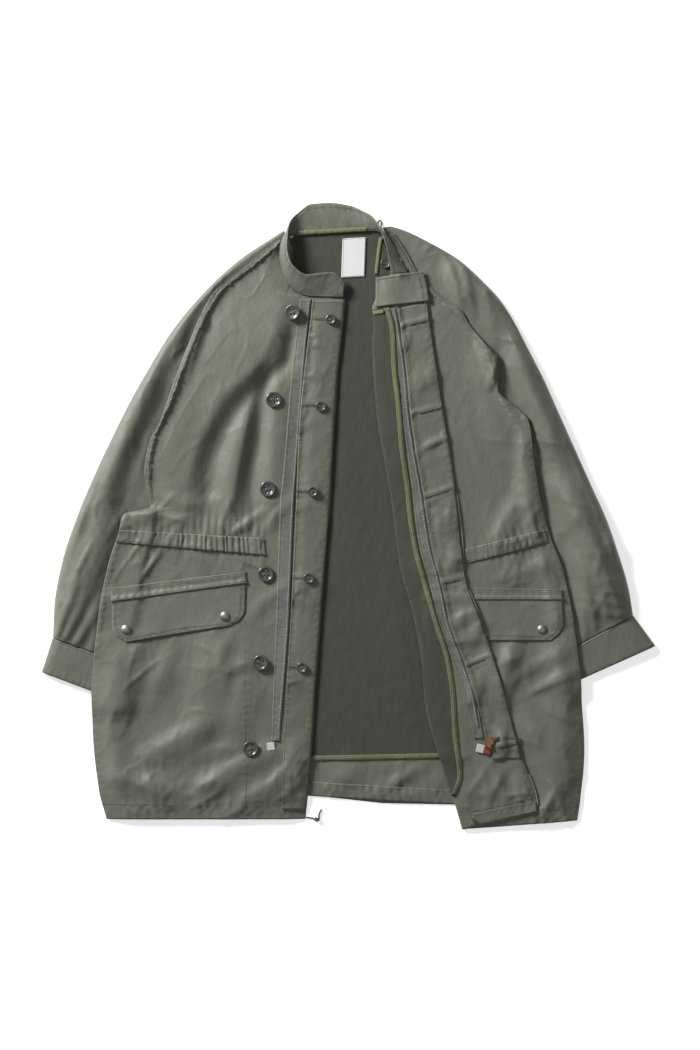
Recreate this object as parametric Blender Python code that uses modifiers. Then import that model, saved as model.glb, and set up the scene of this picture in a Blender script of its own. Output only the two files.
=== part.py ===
"""Field jacket laid flat on its back, with its left front edge folded open.

Run it with: blender --background --python part.py
The tables are in millimetres: x runs to the right, y towards the collar and z up from the floor. Left and
right in the names of the pieces are the wearer's. Every cloth piece is a grid over its own outline, and each
is laid in turn on the cloth below it, a little clear of it.
"""

import math

import bmesh
import bpy
import numpy as np
from mathutils import Matrix, Vector
from mathutils.bvhtree import BVHTree

MM = 0.001
CENTRING = 1.5  # millimetres along x that bring the middle of the outline over the origin

# Cloth, in millimetres
SHELL_WALL = 1.2
LINING_WALL = 1.0
DOUBLE_WALL = 1.8  # collar and cuffs, two layers sewn together
TRIM_WALL = 1.0
GAP = 0.42  # between one cloth and the next
SEAT_GAP = 0.38  # below a small piece that is seated on the cloth
FOLD_ROLL = 5.5  # height of the roll at the folded front edge
FOLD_REACH = 3.0  # how far that roll reaches in from its fold

# Fastenings, in millimetres
BIG_BUTTON = 23.0
SMALL_BUTTON = 15.0
SNAP = 14.0
CORD = 2.6
PULL_CORD = 1.8

SAGE = (0.190, 0.188, 0.152, 1)
LINING = (0.062, 0.059, 0.050, 1)
OLIVE_BINDING = (0.185, 0.195, 0.095, 1)
TAPE_GREY = (0.135, 0.145, 0.145, 1)
WHITE = (0.80, 0.80, 0.80, 1)
STEEL = (0.55, 0.55, 0.53, 1)
BUTTON_GREY = (0.085, 0.085, 0.082, 1)
PULL_ORANGE = (0.33, 0.095, 0.035, 1)
CORD_GREEN = (0.070, 0.075, 0.062, 1)


def table(columns, *rows):
    """A table's columns by name, a row for each station."""
    return dict(zip(columns.split(), np.array(rows, float).T))


OUTLINE = "left_x left_y right_x right_y"

# From the hem up to the neck seam; the right-hand side is the free front edge, then the neck seam.
FRONT_RIGHT = table(
    OUTLINE,
    (-352, -439, -64, -439),
    (-363, -397, -60, -400),
    (-372, -310, -53, -310),
    (-373, -254, -50, -255),
    (-368, -193, -45, -195),
    (-360, -126, -40, -125),
    (-346, -62, -35, -62),
    (-333, -23, -32, -23),
    (-326, 2, -29, 5),
    (-288, 13, -27, 30),
    (-296, 62, -25, 80),
    (-287, 110, -22, 130),
    (-276, 128, -20, 155),
    (-253, 191, -17, 205),
    (-236, 238, -12, 255),
    (-217, 284, -8, 290),
    (-205, 309, -6, 314),
    (-193, 327, -70, 320),
    (-163, 348, -88, 338),
    (-127, 381, -97, 368),
    (-100, 403, -99, 395),
)

# From the hem up; the left-hand side is the fold, then the neck seam.
FRONT_LEFT = table(
    OUTLINE,
    (163, -454, 330, -441),
    (151, -412, 334, -412),
    (127, -339, 340, -339),
    (109, -267, 336, -267),
    (104, -230, 334, -232),
    (103, -195, 330, -193),
    (91, -137, 321, -132),
    (75, -80, 308, -75),
    (68, -35, 292, -33),
    (61, 22, 277, 20),
    (51, 80, 267, 80),
    (42, 130, 259, 136),
    (38, 160, 237, 160),
    (36, 190, 215, 182),
    (34, 225, 213, 228),
    (33, 250, 199, 244),
    (33, 277, 173, 277),
    (33, 290, 162, 296),
    (33, 304, 133, 318),
    (45, 326, 115, 333),
    (57, 350, 99, 351),
    (62, 372, 86, 375),
    (58, 390, 76, 392),
    (50, 405, 64, 409),
)

# The folded strip, inside up: its left edge is the fold above, its right edge is free.
TURNED_STRIP = table(
    OUTLINE,
    (163, -454, 272, -429),
    (151, -412, 271, -411),
    (127, -339, 249, -345),
    (109, -267, 227, -267),
    (104, -230, 214, -225),
    (103, -195, 205, -193),
    (91, -137, 185, -137),
    (75, -80, 165, -80),
    (68, -35, 163, -35),
    (61, 22, 155, 28),
    (51, 80, 148, 85),
    (42, 130, 138, 135),
    (38, 160, 134, 165),
    (36, 190, 129, 195),
    (34, 225, 123, 227),
    (33, 250, 121, 252),
    (33, 277, 118, 280),
    (33, 290, 116, 297),
    (33, 304, 114, 313),
)

BACK_PANEL = table(
    OUTLINE,
    (-352, -436, 330, -438),
    (-363, -397, 334, -405),
    (-371, -310, 339, -339),
    (-372, -254, 335, -267),
    (-367, -193, 329, -193),
    (-359, -126, 320, -132),
    (-345, -62, 307, -75),
    (-332, -23, 291, -33),
    (-325, 2, 276, 20),
    (-282, 16, 261, 55),
    (-288, 62, 246, 84),
    (-281, 110, 245, 117),
    (-271, 128, 232, 144),
    (-247, 191, 212, 182),
    (-238, 215, 202, 211),
    (-230, 238, 194, 240),
    (-211, 284, 163, 284),
    (-187, 325, 132, 313),
    (-157, 348, 100, 342),
    (-122, 381, 78, 368),
    (-93, 403, 60, 392),
    (-86, 412, 46, 420),
)

# How far the back's hem lies above the straight line between its corners, and how far up the panel that fades
BACK_HEM = table("x rise", (-352, 0), (-200, 22), (-56, 32), (47, 21), (153, 19), (330, 0))
BACK_HEM_FADE = 300.0

BACK_LINING = table(
    OUTLINE,
    (-80, -352, 168, -347),
    (-75, -200, 135, -200),
    (-62, 0, 100, 0),
    (-52, 150, 72, 150),
    (-45, 285, 64, 290),
    (-72, 325, 64, 330),
    (-90, 352, 62, 352),
    (-95, 380, 56, 382),
    (-80, 408, 38, 417),
)

# Each sleeve is a flattened tube. outer is its folded outer edge and inner its underarm edge, or above the
# underarm the raglan seam. crest is the highest cloth across it, seam the height at its inner edge, and open
# runs from 0 below the underarm, where the tube is closed, to 1 along the raglan seam.
SLEEVE = "outer_x outer_y inner_x inner_y crest seam open"
SLEEVE_RIGHT = table(
    SLEEVE,
    (-430, -176, -326, -214, 11, 5, 0),
    (-428, -130, -316, -150, 15, 5, 0),
    (-416, -64, -301, -70, 17, 5, 0),
    (-397, -6, -284, 2, 17, 5, 0),
    (-373, 52, -291, 60, 17, 7, 1),
    (-346, 110, -283, 110, 17, 8, 1),
    (-317, 168, -258, 167, 17, 9, 1),
    (-292, 212, -240, 216, 16, 9, 1),
    (-256, 270, -217, 274, 14, 9, 1),
    (-207, 328, -187, 326, 11, 8, 1),
    (-160, 371, -143, 362, 9, 7, 1),
    (-117, 400, -107, 393, 8, 7, 1),
    (-95, 414, -92, 407, 7, 7, 1),
)
SLEEVE_LEFT = table(
    SLEEVE,
    (411, -144, 315, -196, 11, 5, 0),
    (405, -107, 300, -140, 15, 5, 0),
    (388, -49, 278, -70, 17, 5, 0),
    (373, -6, 262, -5, 17, 5, 0),
    (347, 52, 249, 60, 16, 5, 0),
    (321, 110, 248, 118, 16, 6, 0.6),
    (295, 168, 222, 168, 16, 8, 1),
    (282, 197, 209, 195, 15, 9, 1),
    (260, 240, 198, 240, 14, 9, 1),
    (237, 284, 165, 284, 13, 9, 1),
    (218, 313, 134, 313, 12, 8, 1),
    (191, 342, 102, 342, 10, 8, 1),
    (159, 371, 82, 368, 9, 7, 1),
    (117, 396, 65, 391, 8, 7, 1),
    (77, 415, 52.2, 410, 7, 7, 1),
    (60, 420, 48.2, 417.5, 6, 6, 1),
)
# Each cuff ends half a millimetre short of its sleeve.
CUFF_RIGHT = table(SLEEVE, (-446, -226, -338, -267, 9, 7, 0), (-430.2, -176.5, -326.2, -214.5, 10, 7, 0))
CUFF_LEFT = table(SLEEVE, (443, -188, 330, -239, 9, 7, 0), (411.2, -144.4, 315.2, -196.4, 10, 7, 0))

PLACKET_RIGHT = table(
    OUTLINE,
    (-98, -425, -65, -425),
    (-96, -350, -57, -350),
    (-91, -255, -51, -255),
    (-84, -125, -41, -125),
    (-78, 5, -30, 5),
    (-73, 130, -23, 130),
    (-66, 205, -18, 205),
    (-56, 290, -9, 290),
    (-54, 312, -8, 313),
)
ZIP_TAPE_RIGHT = table(
    OUTLINE,
    (-113, -326, -101, -326),
    (-106, -144, -87, -144),
    (-100, 23, -80, 23),
    (-96, 60, -77, 60),
    (-87, 168, -69, 168),
    (-74, 290, -58, 290),
    (-71, 314, -55, 314),
)
CASING_RIGHT = table(OUTLINE, (-337, -38, -121, -57), (-332, -20, -124, -32))
FLAP_RIGHT = table(
    OUTLINE,
    (-322, -182, -172, -158),
    (-341, -168, -155, -146),
    (-343, -158, -151, -135),
    (-343, -121, -150, -95),
)
BAND_RIGHT = table(OUTLINE, (-344, -124, -149, -97), (-344, -104, -150, -80))

CASING_LEFT = table(OUTLINE, (130, -80, 286, -38), (130, -57, 283, -19))
FLAP_LEFT = table(
    OUTLINE,
    (134, -180, 291, -180),
    (118, -168, 304, -168),
    (115, -158, 309, -157),
    (114, -119, 307, -119),
)
BAND_LEFT = table(OUTLINE, (113, -121, 308, -121), (113, -103, 307, -106))

BACK_HEM_FOLD = table(OUTLINE, (-72, -405, 170, -419), (-72, -384, 168, -398))
LINING_BINDING = table(OUTLINE, (-74, -355, 164, -350), (-74, -348, 164, -343))
NECK_BINDING = table(OUTLINE, (-74, 407, 24, 412.5), (-74, 413, 24, 418.5))
LABEL = table(OUTLINE, (-12, 345, 22, 347), (-10, 402, 24, 404))

FACING_LEFT = table(
    OUTLINE,
    (150, -407, 152, -396),
    (138, -372, 158, -372),
    (127, -339, 154, -339),
    (109, -267, 148, -267),
    (103, -200, 139, -200),
    (91, -137, 120, -137),
    (75, -80, 103, -80),
    (68, -35, 92, -35),
    (61, 22, 85, 22),
    (51, 80, 77, 80),
    (42, 130, 72, 130),
    (36, 190, 66, 190),
    (34, 225, 62, 225),
    (33, 277, 58, 277),
    (33, 299, 50, 299),
)
FACING_BINDING = table(
    OUTLINE,
    (147, -402, 153, -402),
    (156, -375, 163, -375),
    (149, -316, 156, -316),
    (146, -260, 153, -260),
    (139, -212, 146, -212),
    (121, -154, 128, -154),
    (104, -94, 111, -94),
    (92, -49, 99, -49),
    (84, 0, 91, 0),
    (80, 42, 87, 42),
    (72, 99, 79, 99),
    (67, 157, 74, 157),
    (61, 213, 68, 213),
    (58, 271, 65, 271),
    (50, 300, 57, 302),
)
ZIP_TAPE_LEFT = table(
    OUTLINE,
    (180, -322, 194, -322),
    (166, -257, 183, -257),
    (150, -212, 168, -212),
    (130, -154, 147, -154),
    (115, -94, 134, -94),
    (101, -45, 121, -45),
    (90, 42, 107, 42),
    (83, 99, 97, 99),
    (74, 157, 89, 157),
    (69, 186, 87, 186),
    (64, 271, 76, 271),
    (56, 302, 70, 304),
)
FLY_LEFT = table(
    OUTLINE,
    (206, -352, 247, -350),
    (182, -260, 225, -263),
    (166, -210, 209, -210),
    (146, -154, 190, -154),
    (132, -94, 168, -94),
    (119, -45, 161, -45),
    (105, 42, 152, 42),
    (95, 99, 144, 99),
    (87, 157, 134, 157),
    (85, 186, 130, 186),
    (74, 271, 117, 271),
    (70, 300, 112, 310),
)
STRIP_HEM_FOLD = table(OUTLINE, (172, -450, 270, -427), (180, -430, 269, -412))

# The collar's band from its right end, round the back, to where its left end is folded over. base is the
# neck seam and rim the free edge, seen from above, with the height of each.
COLLAR = table(
    "base_x base_y base_z rim_x rim_y rim_z",
    (-9, 317, 8, -7, 338, 11),
    (-34, 317, 8, -26, 352, 16),
    (-56, 318, 9, -47, 350, 20),
    (-71, 322, 9, -62, 348, 22),
    (-85, 334, 10, -76, 356, 24),
    (-95, 352, 11, -85, 368, 25),
    (-100, 375, 11, -89, 388, 25),
    (-99, 393, 10, -88, 407, 23),
    (-92, 404, 7, -85, 424, 16),
    (-80, 406, 4, -74, 439, 8),
    (-60, 407, 3.2, -56, 452, 4),
    (-30, 409, 3.2, -28, 454, 3),
    (0, 411, 3.2, 0, 450, 3),
    (20, 412, 3.4, 17, 443, 6),
    (36, 413, 5, 30, 434, 14),
    (48, 410, 8, 39, 421, 21),
    (58, 398, 9, 47, 406, 23),
    (67, 384, 10, 53, 386, 22),
    (76, 367, 9, 57, 367, 17),
    (84, 351, 9, 61, 351, 11),
)
COLLAR_END = table(OUTLINE, (37, 302, 115, 311), (38, 322, 112, 331), (38, 345, 106, 354))
NECK_BINDING_LEFT = table(OUTLINE, (36, 350, 41, 350), (39, 378, 44, 378), (43, 404, 48, 404))

# Soft folds: a ridge along each row from start to end, with its half width and height.
FOLDS = "start_x start_y end_x end_y width height"
FRONT_RIGHT_FOLDS = table(
    FOLDS,
    (-112, 288, -128, 238, 17, 9),
    (-128, 238, -182, 182, 20, 10),
    (-182, 182, -222, 110, 22, 10),
    (-222, 110, -240, 10, 22, 8),
    (-158, 165, -184, 0, 16, 7),
    (-106, 210, -112, -10, 12, 4),
    (-250, 250, -262, 150, 30, 4),
    (-205, -185, -212, -290, 24, 5),
    (-262, -205, -285, -262, 14, 4),
    (-150, -230, -165, -320, 18, 4),
    (-120, -345, -205, -385, 17, 6),
    (-205, -300, -290, -345, 18, 6),
    (-250, -395, -330, -380, 16, 5),
    (-340, -250, -336, -380, 20, 5),
    (-90, -380, -160, -420, 16, 5),
)
FRONT_LEFT_FOLDS = table(
    FOLDS,
    (232, -195, 226, -258, 13, 6),
    (205, -192, 216, -232, 9, 4),
    (255, 120, 262, -10, 16, 5),
    (190, 230, 225, 120, 22, 4),
    (300, -220, 312, -330, 20, 5),
    (262, -285, 300, -385, 20, 5),
    (236, 20, 216, -32, 14, 4),
    (190, 280, 206, 200, 10, 4),
)
SLEEVE_RIGHT_FOLDS = table(
    FOLDS,
    (-288, 185, -312, 118, 13, 5),
    (-318, 112, -352, 30, 13, 6),
    (-352, 0, -372, -90, 15, 5),
    (-418, -164, -396, -108, 7, 5),
    (-402, -168, -380, -118, 7, 5),
    (-384, -176, -362, -128, 7, 5),
    (-250, 238, -236, 272, 8, 4),
)
SLEEVE_LEFT_FOLDS = table(
    FOLDS,
    (166, 366, 172, 305, 9, 6),
    (150, 352, 160, 300, 7, 5),
    (232, 265, 268, 178, 15, 5),
    (282, 150, 318, 60, 15, 6),
    (300, 20, 322, -60, 13, 5),
    (330, -55, 352, -150, 9, 6),
    (362, -60, 366, -146, 8, 6),
    (386, -112, 398, -142, 8, 5),
    (383, -38, 398, -62, 8, 5),
)

# Gathers and puckers: short ridges side by side across a strip, from start to end along it.
GATHERS = "start end count height"
CASING_RIGHT_GATHERS = table(GATHERS, (0.04, 0.38, 8, 0.7), (0.38, 0.98, 18, 1.5))
CASING_LEFT_GATHERS = table(GATHERS, (0.3, 0.97, 10, 0.7))
FLY_PUCKERS = table("y height", (278, 3.0), (149, 2.4), (30, 2.6), (-96, 2.0), (-216, 2.4), (-332, 2.4))
PUCKER_HALF_WIDTH = 9.0

# Where the fastenings lie, and how far each is tipped about the jacket's length
BIG_BUTTONS = table(
    "x y tip",
    (-82, 294, -14),
    (-109.5, 168, 2),
    (-118, 39, -4),
    (-121, -84, 3),
    (-128.5, -212, -6),
    (-143, -336, 3),
)
SMALL_BUTTONS = table("x y tip", (-27, 284, -6), (-41.5, 158, 2), (-53, 35, -4), (-59, -90, 3), (-69, -219, -5))
SNAPS = table("x y", (-322.5, -164), (-180, -145), (278.5, -164))
COLLAR_BUTTON = (52, 366)

# Half profiles, as shares of the radius and the height
BUTTON_PROFILE = ((0, 0), (0.85, 0), (1, 0.35), (0.95, 0.95), (0.78, 1), (0.62, 0.6), (0, 0.55))
SNAP_PROFILE = ((0, 0), (0.95, 0), (1, 0.2), (0.86, 0.5), (0.5, 0.9), (0, 1))

ZIP_BOX_RIGHT = (-113.5, -333, 11, 11, 3.0, 8)
ZIP_BOX_LEFT = (189, -336, 11, 12, 3.2, -14)
SLIDER_AT = (199.5, -336.0)
SLIDER_TURN = -14.0  # degrees about z, from straight up the jacket
SLIDER_SIZE = (9.0, 15.0, 3.2)
LUG = (1.3, 4.4, 4.4)
HINGE_UP = 2.5  # the hinge's height over the slider's top
HINGE_ALONG = 3.4  # and its place along the slider from its middle
PIN_RADIUS = 0.8
BARREL_HOLE = 1.15
BARREL_RADIUS = 2.0
TAB_SIZE = (7.6, 15.0, 1.5)
TAB_HOLE = 1.7
PULL_LOOP_WAY = (1, -0.09, 0)
PULL_LOOP_CLEAR = 0.3
PULL_LOOP_SPREAD = 3.8
PULL_LOOP_STEPS = (11.1, 15, 19, 23, 27, 31, 35, 39, 43)  # along the loop, from the tab's hole
PULL_KNOT = (2.2, 2.8, 1.9)
PULL_KNOT_ALONG = 8.6
HANGER = 2.2
HANGING_LOOP = (
    (41.0, 420.3, 1.3),
    (40.8, 424, 1.5),
    (41.8, 427.6, 1.7),
    (44, 429, 1.8),
    (46.2, 427.6, 1.7),
    (47, 424, 1.5),
    (46.4, 420.8, 1.3),
)
HEM_KNOT_LEFT = (177.6, -438.0)


# ------------------------------------------------------------------ shapes worked out from the tables


def smooth(knots, values, at):
    """A curve through the knots that never swings past their values."""
    step = np.diff(knots)
    slope = np.diff(values) / step
    product = slope[:-1] * slope[1:]
    total = np.where(product > 0, slope[:-1] + slope[1:], 1)
    inner = np.where(product > 0, 2 * product / total, 0)
    tangent = np.concatenate([slope[:1], inner, slope[-1:]])
    i = np.clip(np.searchsorted(knots, at, side="right") - 1, 0, len(step) - 1)
    t = (at - knots[i]) / step[i]
    blend = t * t * (3 - 2 * t)
    leave = step[i] * tangent[i] * t * (1 - t) ** 2
    arrive = step[i] * tangent[i + 1] * t * t * (t - 1)
    return values[i] * (1 - blend) + values[i + 1] * blend + leave + arrive


def stations(rows, first, second):
    """The mean distance along two edges at each row of a table, from 0 to 1."""
    steps = [np.hypot(np.diff(rows[e + "_x"]), np.diff(rows[e + "_y"])) for e in (first, second)]
    along = np.concatenate([[0], np.cumsum(steps[0] + steps[1])])
    return along / along[-1]


def resampled(rows, count, first="left", second="right"):
    """Every column of the table at evenly spaced stations."""
    knots = stations(rows, first, second)
    at = np.linspace(0, 1, count)
    return {name: smooth(knots, values, at) for name, values in rows.items()}


def across(count, crowding=0.25):
    """Shares from 0 to 1 that crowd a little towards both ends."""
    even = np.linspace(0, 1, count)
    return (1 - crowding) * even + crowding * (1 - np.cos(math.pi * even)) / 2


def plan_of(rows, down, over):
    """The plan of a sheet: points in rows from its first row to its last, from left to right."""
    at = resampled(rows, down)
    share = across(over)
    plan = np.empty((down, over, 2))
    for k, axis in enumerate("xy"):
        left, right = at["left_" + axis][:, None], at["right_" + axis][:, None]
        plan[..., k] = left + (right - left) * share
    return plan


def edge_swell(plan, height, reach):
    """A soft rise from the sheet's sides to its middle."""
    left = np.hypot(*(plan - plan[:, :1]).transpose(2, 0, 1))
    right = np.hypot(*(plan - plan[:, -1:]).transpose(2, 0, 1))
    near = np.clip(np.minimum(left, right) / reach, 0, 1)
    return height * (1 - (1 - near) ** 2)


def ridges(plan, folds):
    """The height of all the folds of a table at these points."""
    total = np.zeros(plan.shape[:-1])
    for row in zip(*folds.values()):
        start, end, width, height = np.array(row[:2]), np.array(row[2:4]), row[4], row[5]
        run = end - start
        share = np.clip(((plan - start) @ run) / (run @ run), 0, 1)
        off = np.linalg.norm(plan - start - share[..., None] * run, axis=-1)
        total = np.maximum(total, height * np.exp(-((off / width) ** 2)))
    return total


def gather_wave(shares, gathers):
    """The height of side-by-side gathers at these shares along a strip."""
    wave = np.zeros_like(shares)
    for start, end, count, height in zip(*gathers.values()):
        turn = (shares - start) / (end - start)
        inside = (turn >= 0) & (turn <= 1)
        wave = np.where(inside, height * (1 - np.cos(2 * math.pi * count * turn)) / 2, wave)
    return wave


def gather_shares(gathers, per_gather=4):
    """Where a strip needs points to hold those gathers."""
    runs = [
        np.linspace(start, end, int(count) * per_gather + 1)
        for start, end, count, _ in zip(*gathers.values())
    ]
    return np.unique(np.round(np.concatenate([[0], *runs, [1]]), 6))


def normals(points):
    """The sheet's normal at each of its points, facing up."""
    cross = np.cross(np.gradient(points, axis=1), np.gradient(points, axis=0))
    cross /= np.maximum(np.linalg.norm(cross, axis=-1, keepdims=True), 1e-9)
    return cross * np.where(cross[..., 2:] < 0, -1, 1)


class Pile:
    """The cloth laid so far: the height of its top over a square grid on the floor."""

    CELL = 1.5
    REACH = 510.0

    def __init__(self):
        self.top = np.zeros((int(2 * self.REACH / self.CELL),) * 2)

    def index(self, points):
        cell = np.floor((points[..., :2] + self.REACH) / self.CELL).astype(int)
        return tuple(np.clip(cell, 0, len(self.top) - 1).reshape(-1, 2).T)

    @staticmethod
    def dense(grid, factors):
        """The grid with each cell split evenly, by straight lines."""
        for axis, factor in enumerate(factors):
            count = grid.shape[axis]
            at = np.linspace(0, count - 1, (count - 1) * factor + 1)
            low = np.minimum(at.astype(int), count - 2)
            share = (at - low).reshape([-1 if a == axis else 1 for a in range(grid.ndim)])
            grid = np.take(grid, low, axis) * (1 - share) + np.take(grid, low + 1, axis) * share
        return grid

    def factors(self, points):
        """How many steps each way split every cell of the grid finer than the pile's own."""
        longest = [np.linalg.norm(np.diff(points[..., :2], axis=axis), axis=-1).max() for axis in (0, 1)]
        return [max(1, math.ceil(length / (0.8 * self.CELL))) for length in longest]

    @staticmethod
    def twist(heights):
        """How far a cell's two triangles can lie from its smooth surface."""
        return np.abs(heights[:-1, :-1] - heights[:-1, 1:] - heights[1:, :-1] + heights[1:, 1:]) / 4

    def add(self, surface):
        """Lays a surface on the pile, given as its top."""
        factors = self.factors(surface)
        points = self.dense(surface, factors)
        twist = np.zeros(points.shape[:2])
        cells = np.repeat(np.repeat(self.twist(surface[..., 2]), factors[0], 0), factors[1], 1)
        twist[: cells.shape[0], : cells.shape[1]] = cells
        np.maximum.at(self.top, self.index(points), (points[..., 2] + twist).ravel())

    def widened(self):
        """The top with each cell as high as its highest neighbour."""
        top = self.top
        for axis in (0, 1):
            top = np.maximum(top, np.maximum(np.roll(top, 1, axis), np.roll(top, -1, axis)))
        return top

    def softened(self, reach):
        """The top smoothed over about this distance, to bridge steps below a wide panel."""
        half = max(1, int(reach / self.CELL))
        kernel = np.hanning(2 * half + 3)[1:-1]
        kernel /= kernel.sum()
        top = self.widened()
        for axis in (0, 1):
            top = np.apply_along_axis(lambda line: np.convolve(line, kernel, "same"), axis, top)
        return top

    def rest(self, plan, relief=0.0, reach=0.0):
        """A sheet of this plan on the pile: its relief over the cloth below, and clear of it everywhere."""
        widened = self.widened()
        shape = plan.shape[:2]
        under = widened[self.index(plan)].reshape(shape)
        if reach:
            under = np.maximum(under, self.softened(reach)[self.index(plan)].reshape(shape))
        height = under + np.where(under > 0, GAP, 0) + relief
        factors = self.factors(plan)
        fine = self.dense(np.dstack([plan, height]), factors)
        below = widened[self.index(fine)].reshape(fine.shape[:2])
        short = below + np.where(below > 0, GAP, 0) - fine[..., 2]
        lift = np.zeros((shape[0] - 1, shape[1] - 1))
        for i in range(factors[0] + 1):
            for j in range(factors[1] + 1):
                part = short[i:, j:][:: factors[0], :: factors[1]][: shape[0] - 1, : shape[1] - 1]
                lift = np.maximum(lift, part)
        lift = np.where(lift > 0, lift, 0) + self.twist(height) * (lift > 0)
        raised = np.zeros(shape)
        for i in (0, 1):
            for j in (0, 1):
                corner = raised[i : shape[0] - 1 + i, j : shape[1] - 1 + j]
                np.maximum(corner, lift, out=corner)
        return np.dstack([plan, height + raised])

    @staticmethod
    def drawn_taut(points, passes):
        """The sheet with its dents drawn up towards their surroundings, as stiff cloth bridges them."""
        height = points[..., 2].copy()
        for _ in range(passes):
            padded = np.pad(height, 1, mode="edge")
            mean = (padded[:-2, 1:-1] + padded[2:, 1:-1] + padded[1:-1, :-2] + padded[1:-1, 2:]) / 4
            height = np.maximum(height, mean)
        return np.dstack([points[..., :2], height])

    def highest(self, x, y, radius):
        """The highest cloth within this radius."""
        span = np.arange(-radius, radius + self.CELL, self.CELL / 2)
        near = np.array([(x + dx, y + dy) for dx in span for dy in span if dx * dx + dy * dy <= radius**2])
        return self.widened()[self.index(near)].max()


# ------------------------------------------------------------------ Blender objects


def material_of(name, colour, roughness, metallic):
    material = bpy.data.materials.new(name + "_finish")
    material.use_nodes = True
    shader = material.node_tree.nodes["Principled BSDF"]
    shader.inputs["Base Color"].default_value = colour
    shader.inputs["Roughness"].default_value = roughness
    shader.inputs["Metallic"].default_value = metallic
    material.diffuse_color = colour
    return material


def add_object(name, data, colour, roughness=0.6, metallic=0.0):
    made = bpy.data.objects.new(name, data)
    bpy.data.collections["field_jacket"].objects.link(made)
    data.materials.append(material_of(name, colour, roughness, metallic))
    return made


def add_grid(bm, points, flip=False):
    """A grid primitive with its vertices moved to these points."""
    down, over = points.shape[:2]
    made = bmesh.ops.create_grid(bm, x_segments=over - 1, y_segments=down - 1, size=0.5)["verts"]
    for vert in made:
        row, column = round((vert.co.y + 0.5) * (down - 1)), round((vert.co.x + 0.5) * (over - 1))
        vert.co = Vector(points[row, column] * MM)
    if flip:
        faces = {face for vert in made for face in vert.link_faces}
        bmesh.ops.reverse_faces(bm, faces=list(faces))


def add_cloth(name, grids, wall, colour, roughness=0.6, outward=1):
    """A cloth piece: its grids joined where they meet, then given a wall's thickness along their normals."""
    bm = bmesh.new()
    for points, flip in grids:
        add_grid(bm, points, flip)
    bmesh.ops.remove_doubles(bm, verts=bm.verts, dist=1e-6)
    mesh = bpy.data.meshes.new(name)
    bm.to_mesh(mesh)
    bm.free()
    made = add_object(name, mesh, colour, roughness)
    solid = made.modifiers.new("wall", "SOLIDIFY")
    solid.thickness = wall * MM
    solid.offset = outward
    return made


def lay(pile, name, rows, down, over, wall, colour, relief=None, reach=0.0, swell=(0.0, 1.0), taut=0):
    """Lays one sheet on the pile and adds its object. relief gives its folds from its plan."""
    return lay_plan(pile, name, plan_of(rows, down, over), wall, colour, relief, reach, swell, taut)


def lay_plan(pile, name, plan, wall, colour, relief=None, reach=0.0, swell=(0.0, 1.0), taut=0):
    raised = edge_swell(plan, *swell)
    if relief is not None:
        raised = raised + relief(plan)
    points = pile.drawn_taut(pile.rest(plan, raised, reach), taut)
    pile.add(points + normals(points) * wall)
    add_cloth(name, [(points, False)], wall, colour)
    return points


def sheet_with_gathers(pile, name, rows, down, gathers, wall, colour):
    """A gathered strip, with points just where its gathers need them."""
    shares = gather_shares(gathers)
    at = resampled(rows, down)
    plan = np.empty((down, len(shares), 2))
    for k, axis in enumerate("xy"):
        left, right = at["left_" + axis][:, None], at["right_" + axis][:, None]
        plan[..., k] = left + (right - left) * shares
    wave = gather_wave(shares, gathers)
    return lay_plan(pile, name, plan, wall, colour, lambda _: np.tile(wave, (down, 1)))


# ------------------------------------------------------------------ sleeves and cuffs


def tube_points(rows, down, over, folds):
    """The outer face of a flattened tube: under it from inner to outer edge, then back over it."""
    at = resampled(rows, down, "outer", "inner")
    share = across(over, 0.75)
    outer = np.stack([at["outer_x"], at["outer_y"]], 1)[:, None]
    inner = np.stack([at["inner_x"], at["inner_y"]], 1)[:, None]
    plan = outer + (inner - outer) * share[None, :, None]
    width = np.linalg.norm(inner - outer, axis=-1)
    crest, seam, gap = (at[name][:, None] for name in ("crest", "seam", "open"))
    gap = np.clip(gap, 0, 1)
    drop = np.clip((share[None] - 0.22) / 0.6, 0, 1)
    top = crest + (seam - crest) * drop * drop * (3 - 2 * drop)
    top = top + ridges(plan, folds) * (1 - drop * 0.5) * (1 - gap * drop)
    middle = 0.42 * np.minimum(crest, seam)

    def rounding(distance, reach):
        return np.sqrt(1 - (1 - np.clip(distance / reach, 0, 1)) ** 2)

    near_outer, near_inner = share[None] * width, (1 - share[None]) * width
    outer_top, inner_top = rounding(near_outer, np.minimum(13, width / 2)), rounding(near_inner, 6)
    outer_low, inner_low = rounding(near_outer, 5), rounding(near_inner, 4)
    inner_top, inner_low = inner_top + (1 - inner_top) * gap, inner_low + (1 - inner_low) * gap
    upper = middle + (top - middle) * outer_top * inner_top
    lower = middle * (1 - outer_low * inner_low)
    over_face = np.dstack([plan, upper])
    under_face = np.dstack([plan, lower])
    return over_face, under_face


def add_tube(pile, name, rows, down, over, wall, folds, left_hand):
    """A sleeve or cuff, open at its ends. left_hand says that its outer edge is on the left of the view."""
    over_face, under_face = tube_points(rows, down, over, folds)
    kept = [i for i in range(over) if i < 3 or i > over - 3 or i % 2 == 0]
    ring = np.concatenate([under_face[:, kept][:, ::-1], over_face[:, 1:]], axis=1)
    add_cloth(name, [(ring, not left_hand)], wall, SAGE, outward=-1)
    closed = over_face[: np.sum(resampled(rows, down, "outer", "inner")["open"] < 0.3)]
    pile.add(closed)
    return over_face


# ------------------------------------------------------------------ the folded left front


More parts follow.
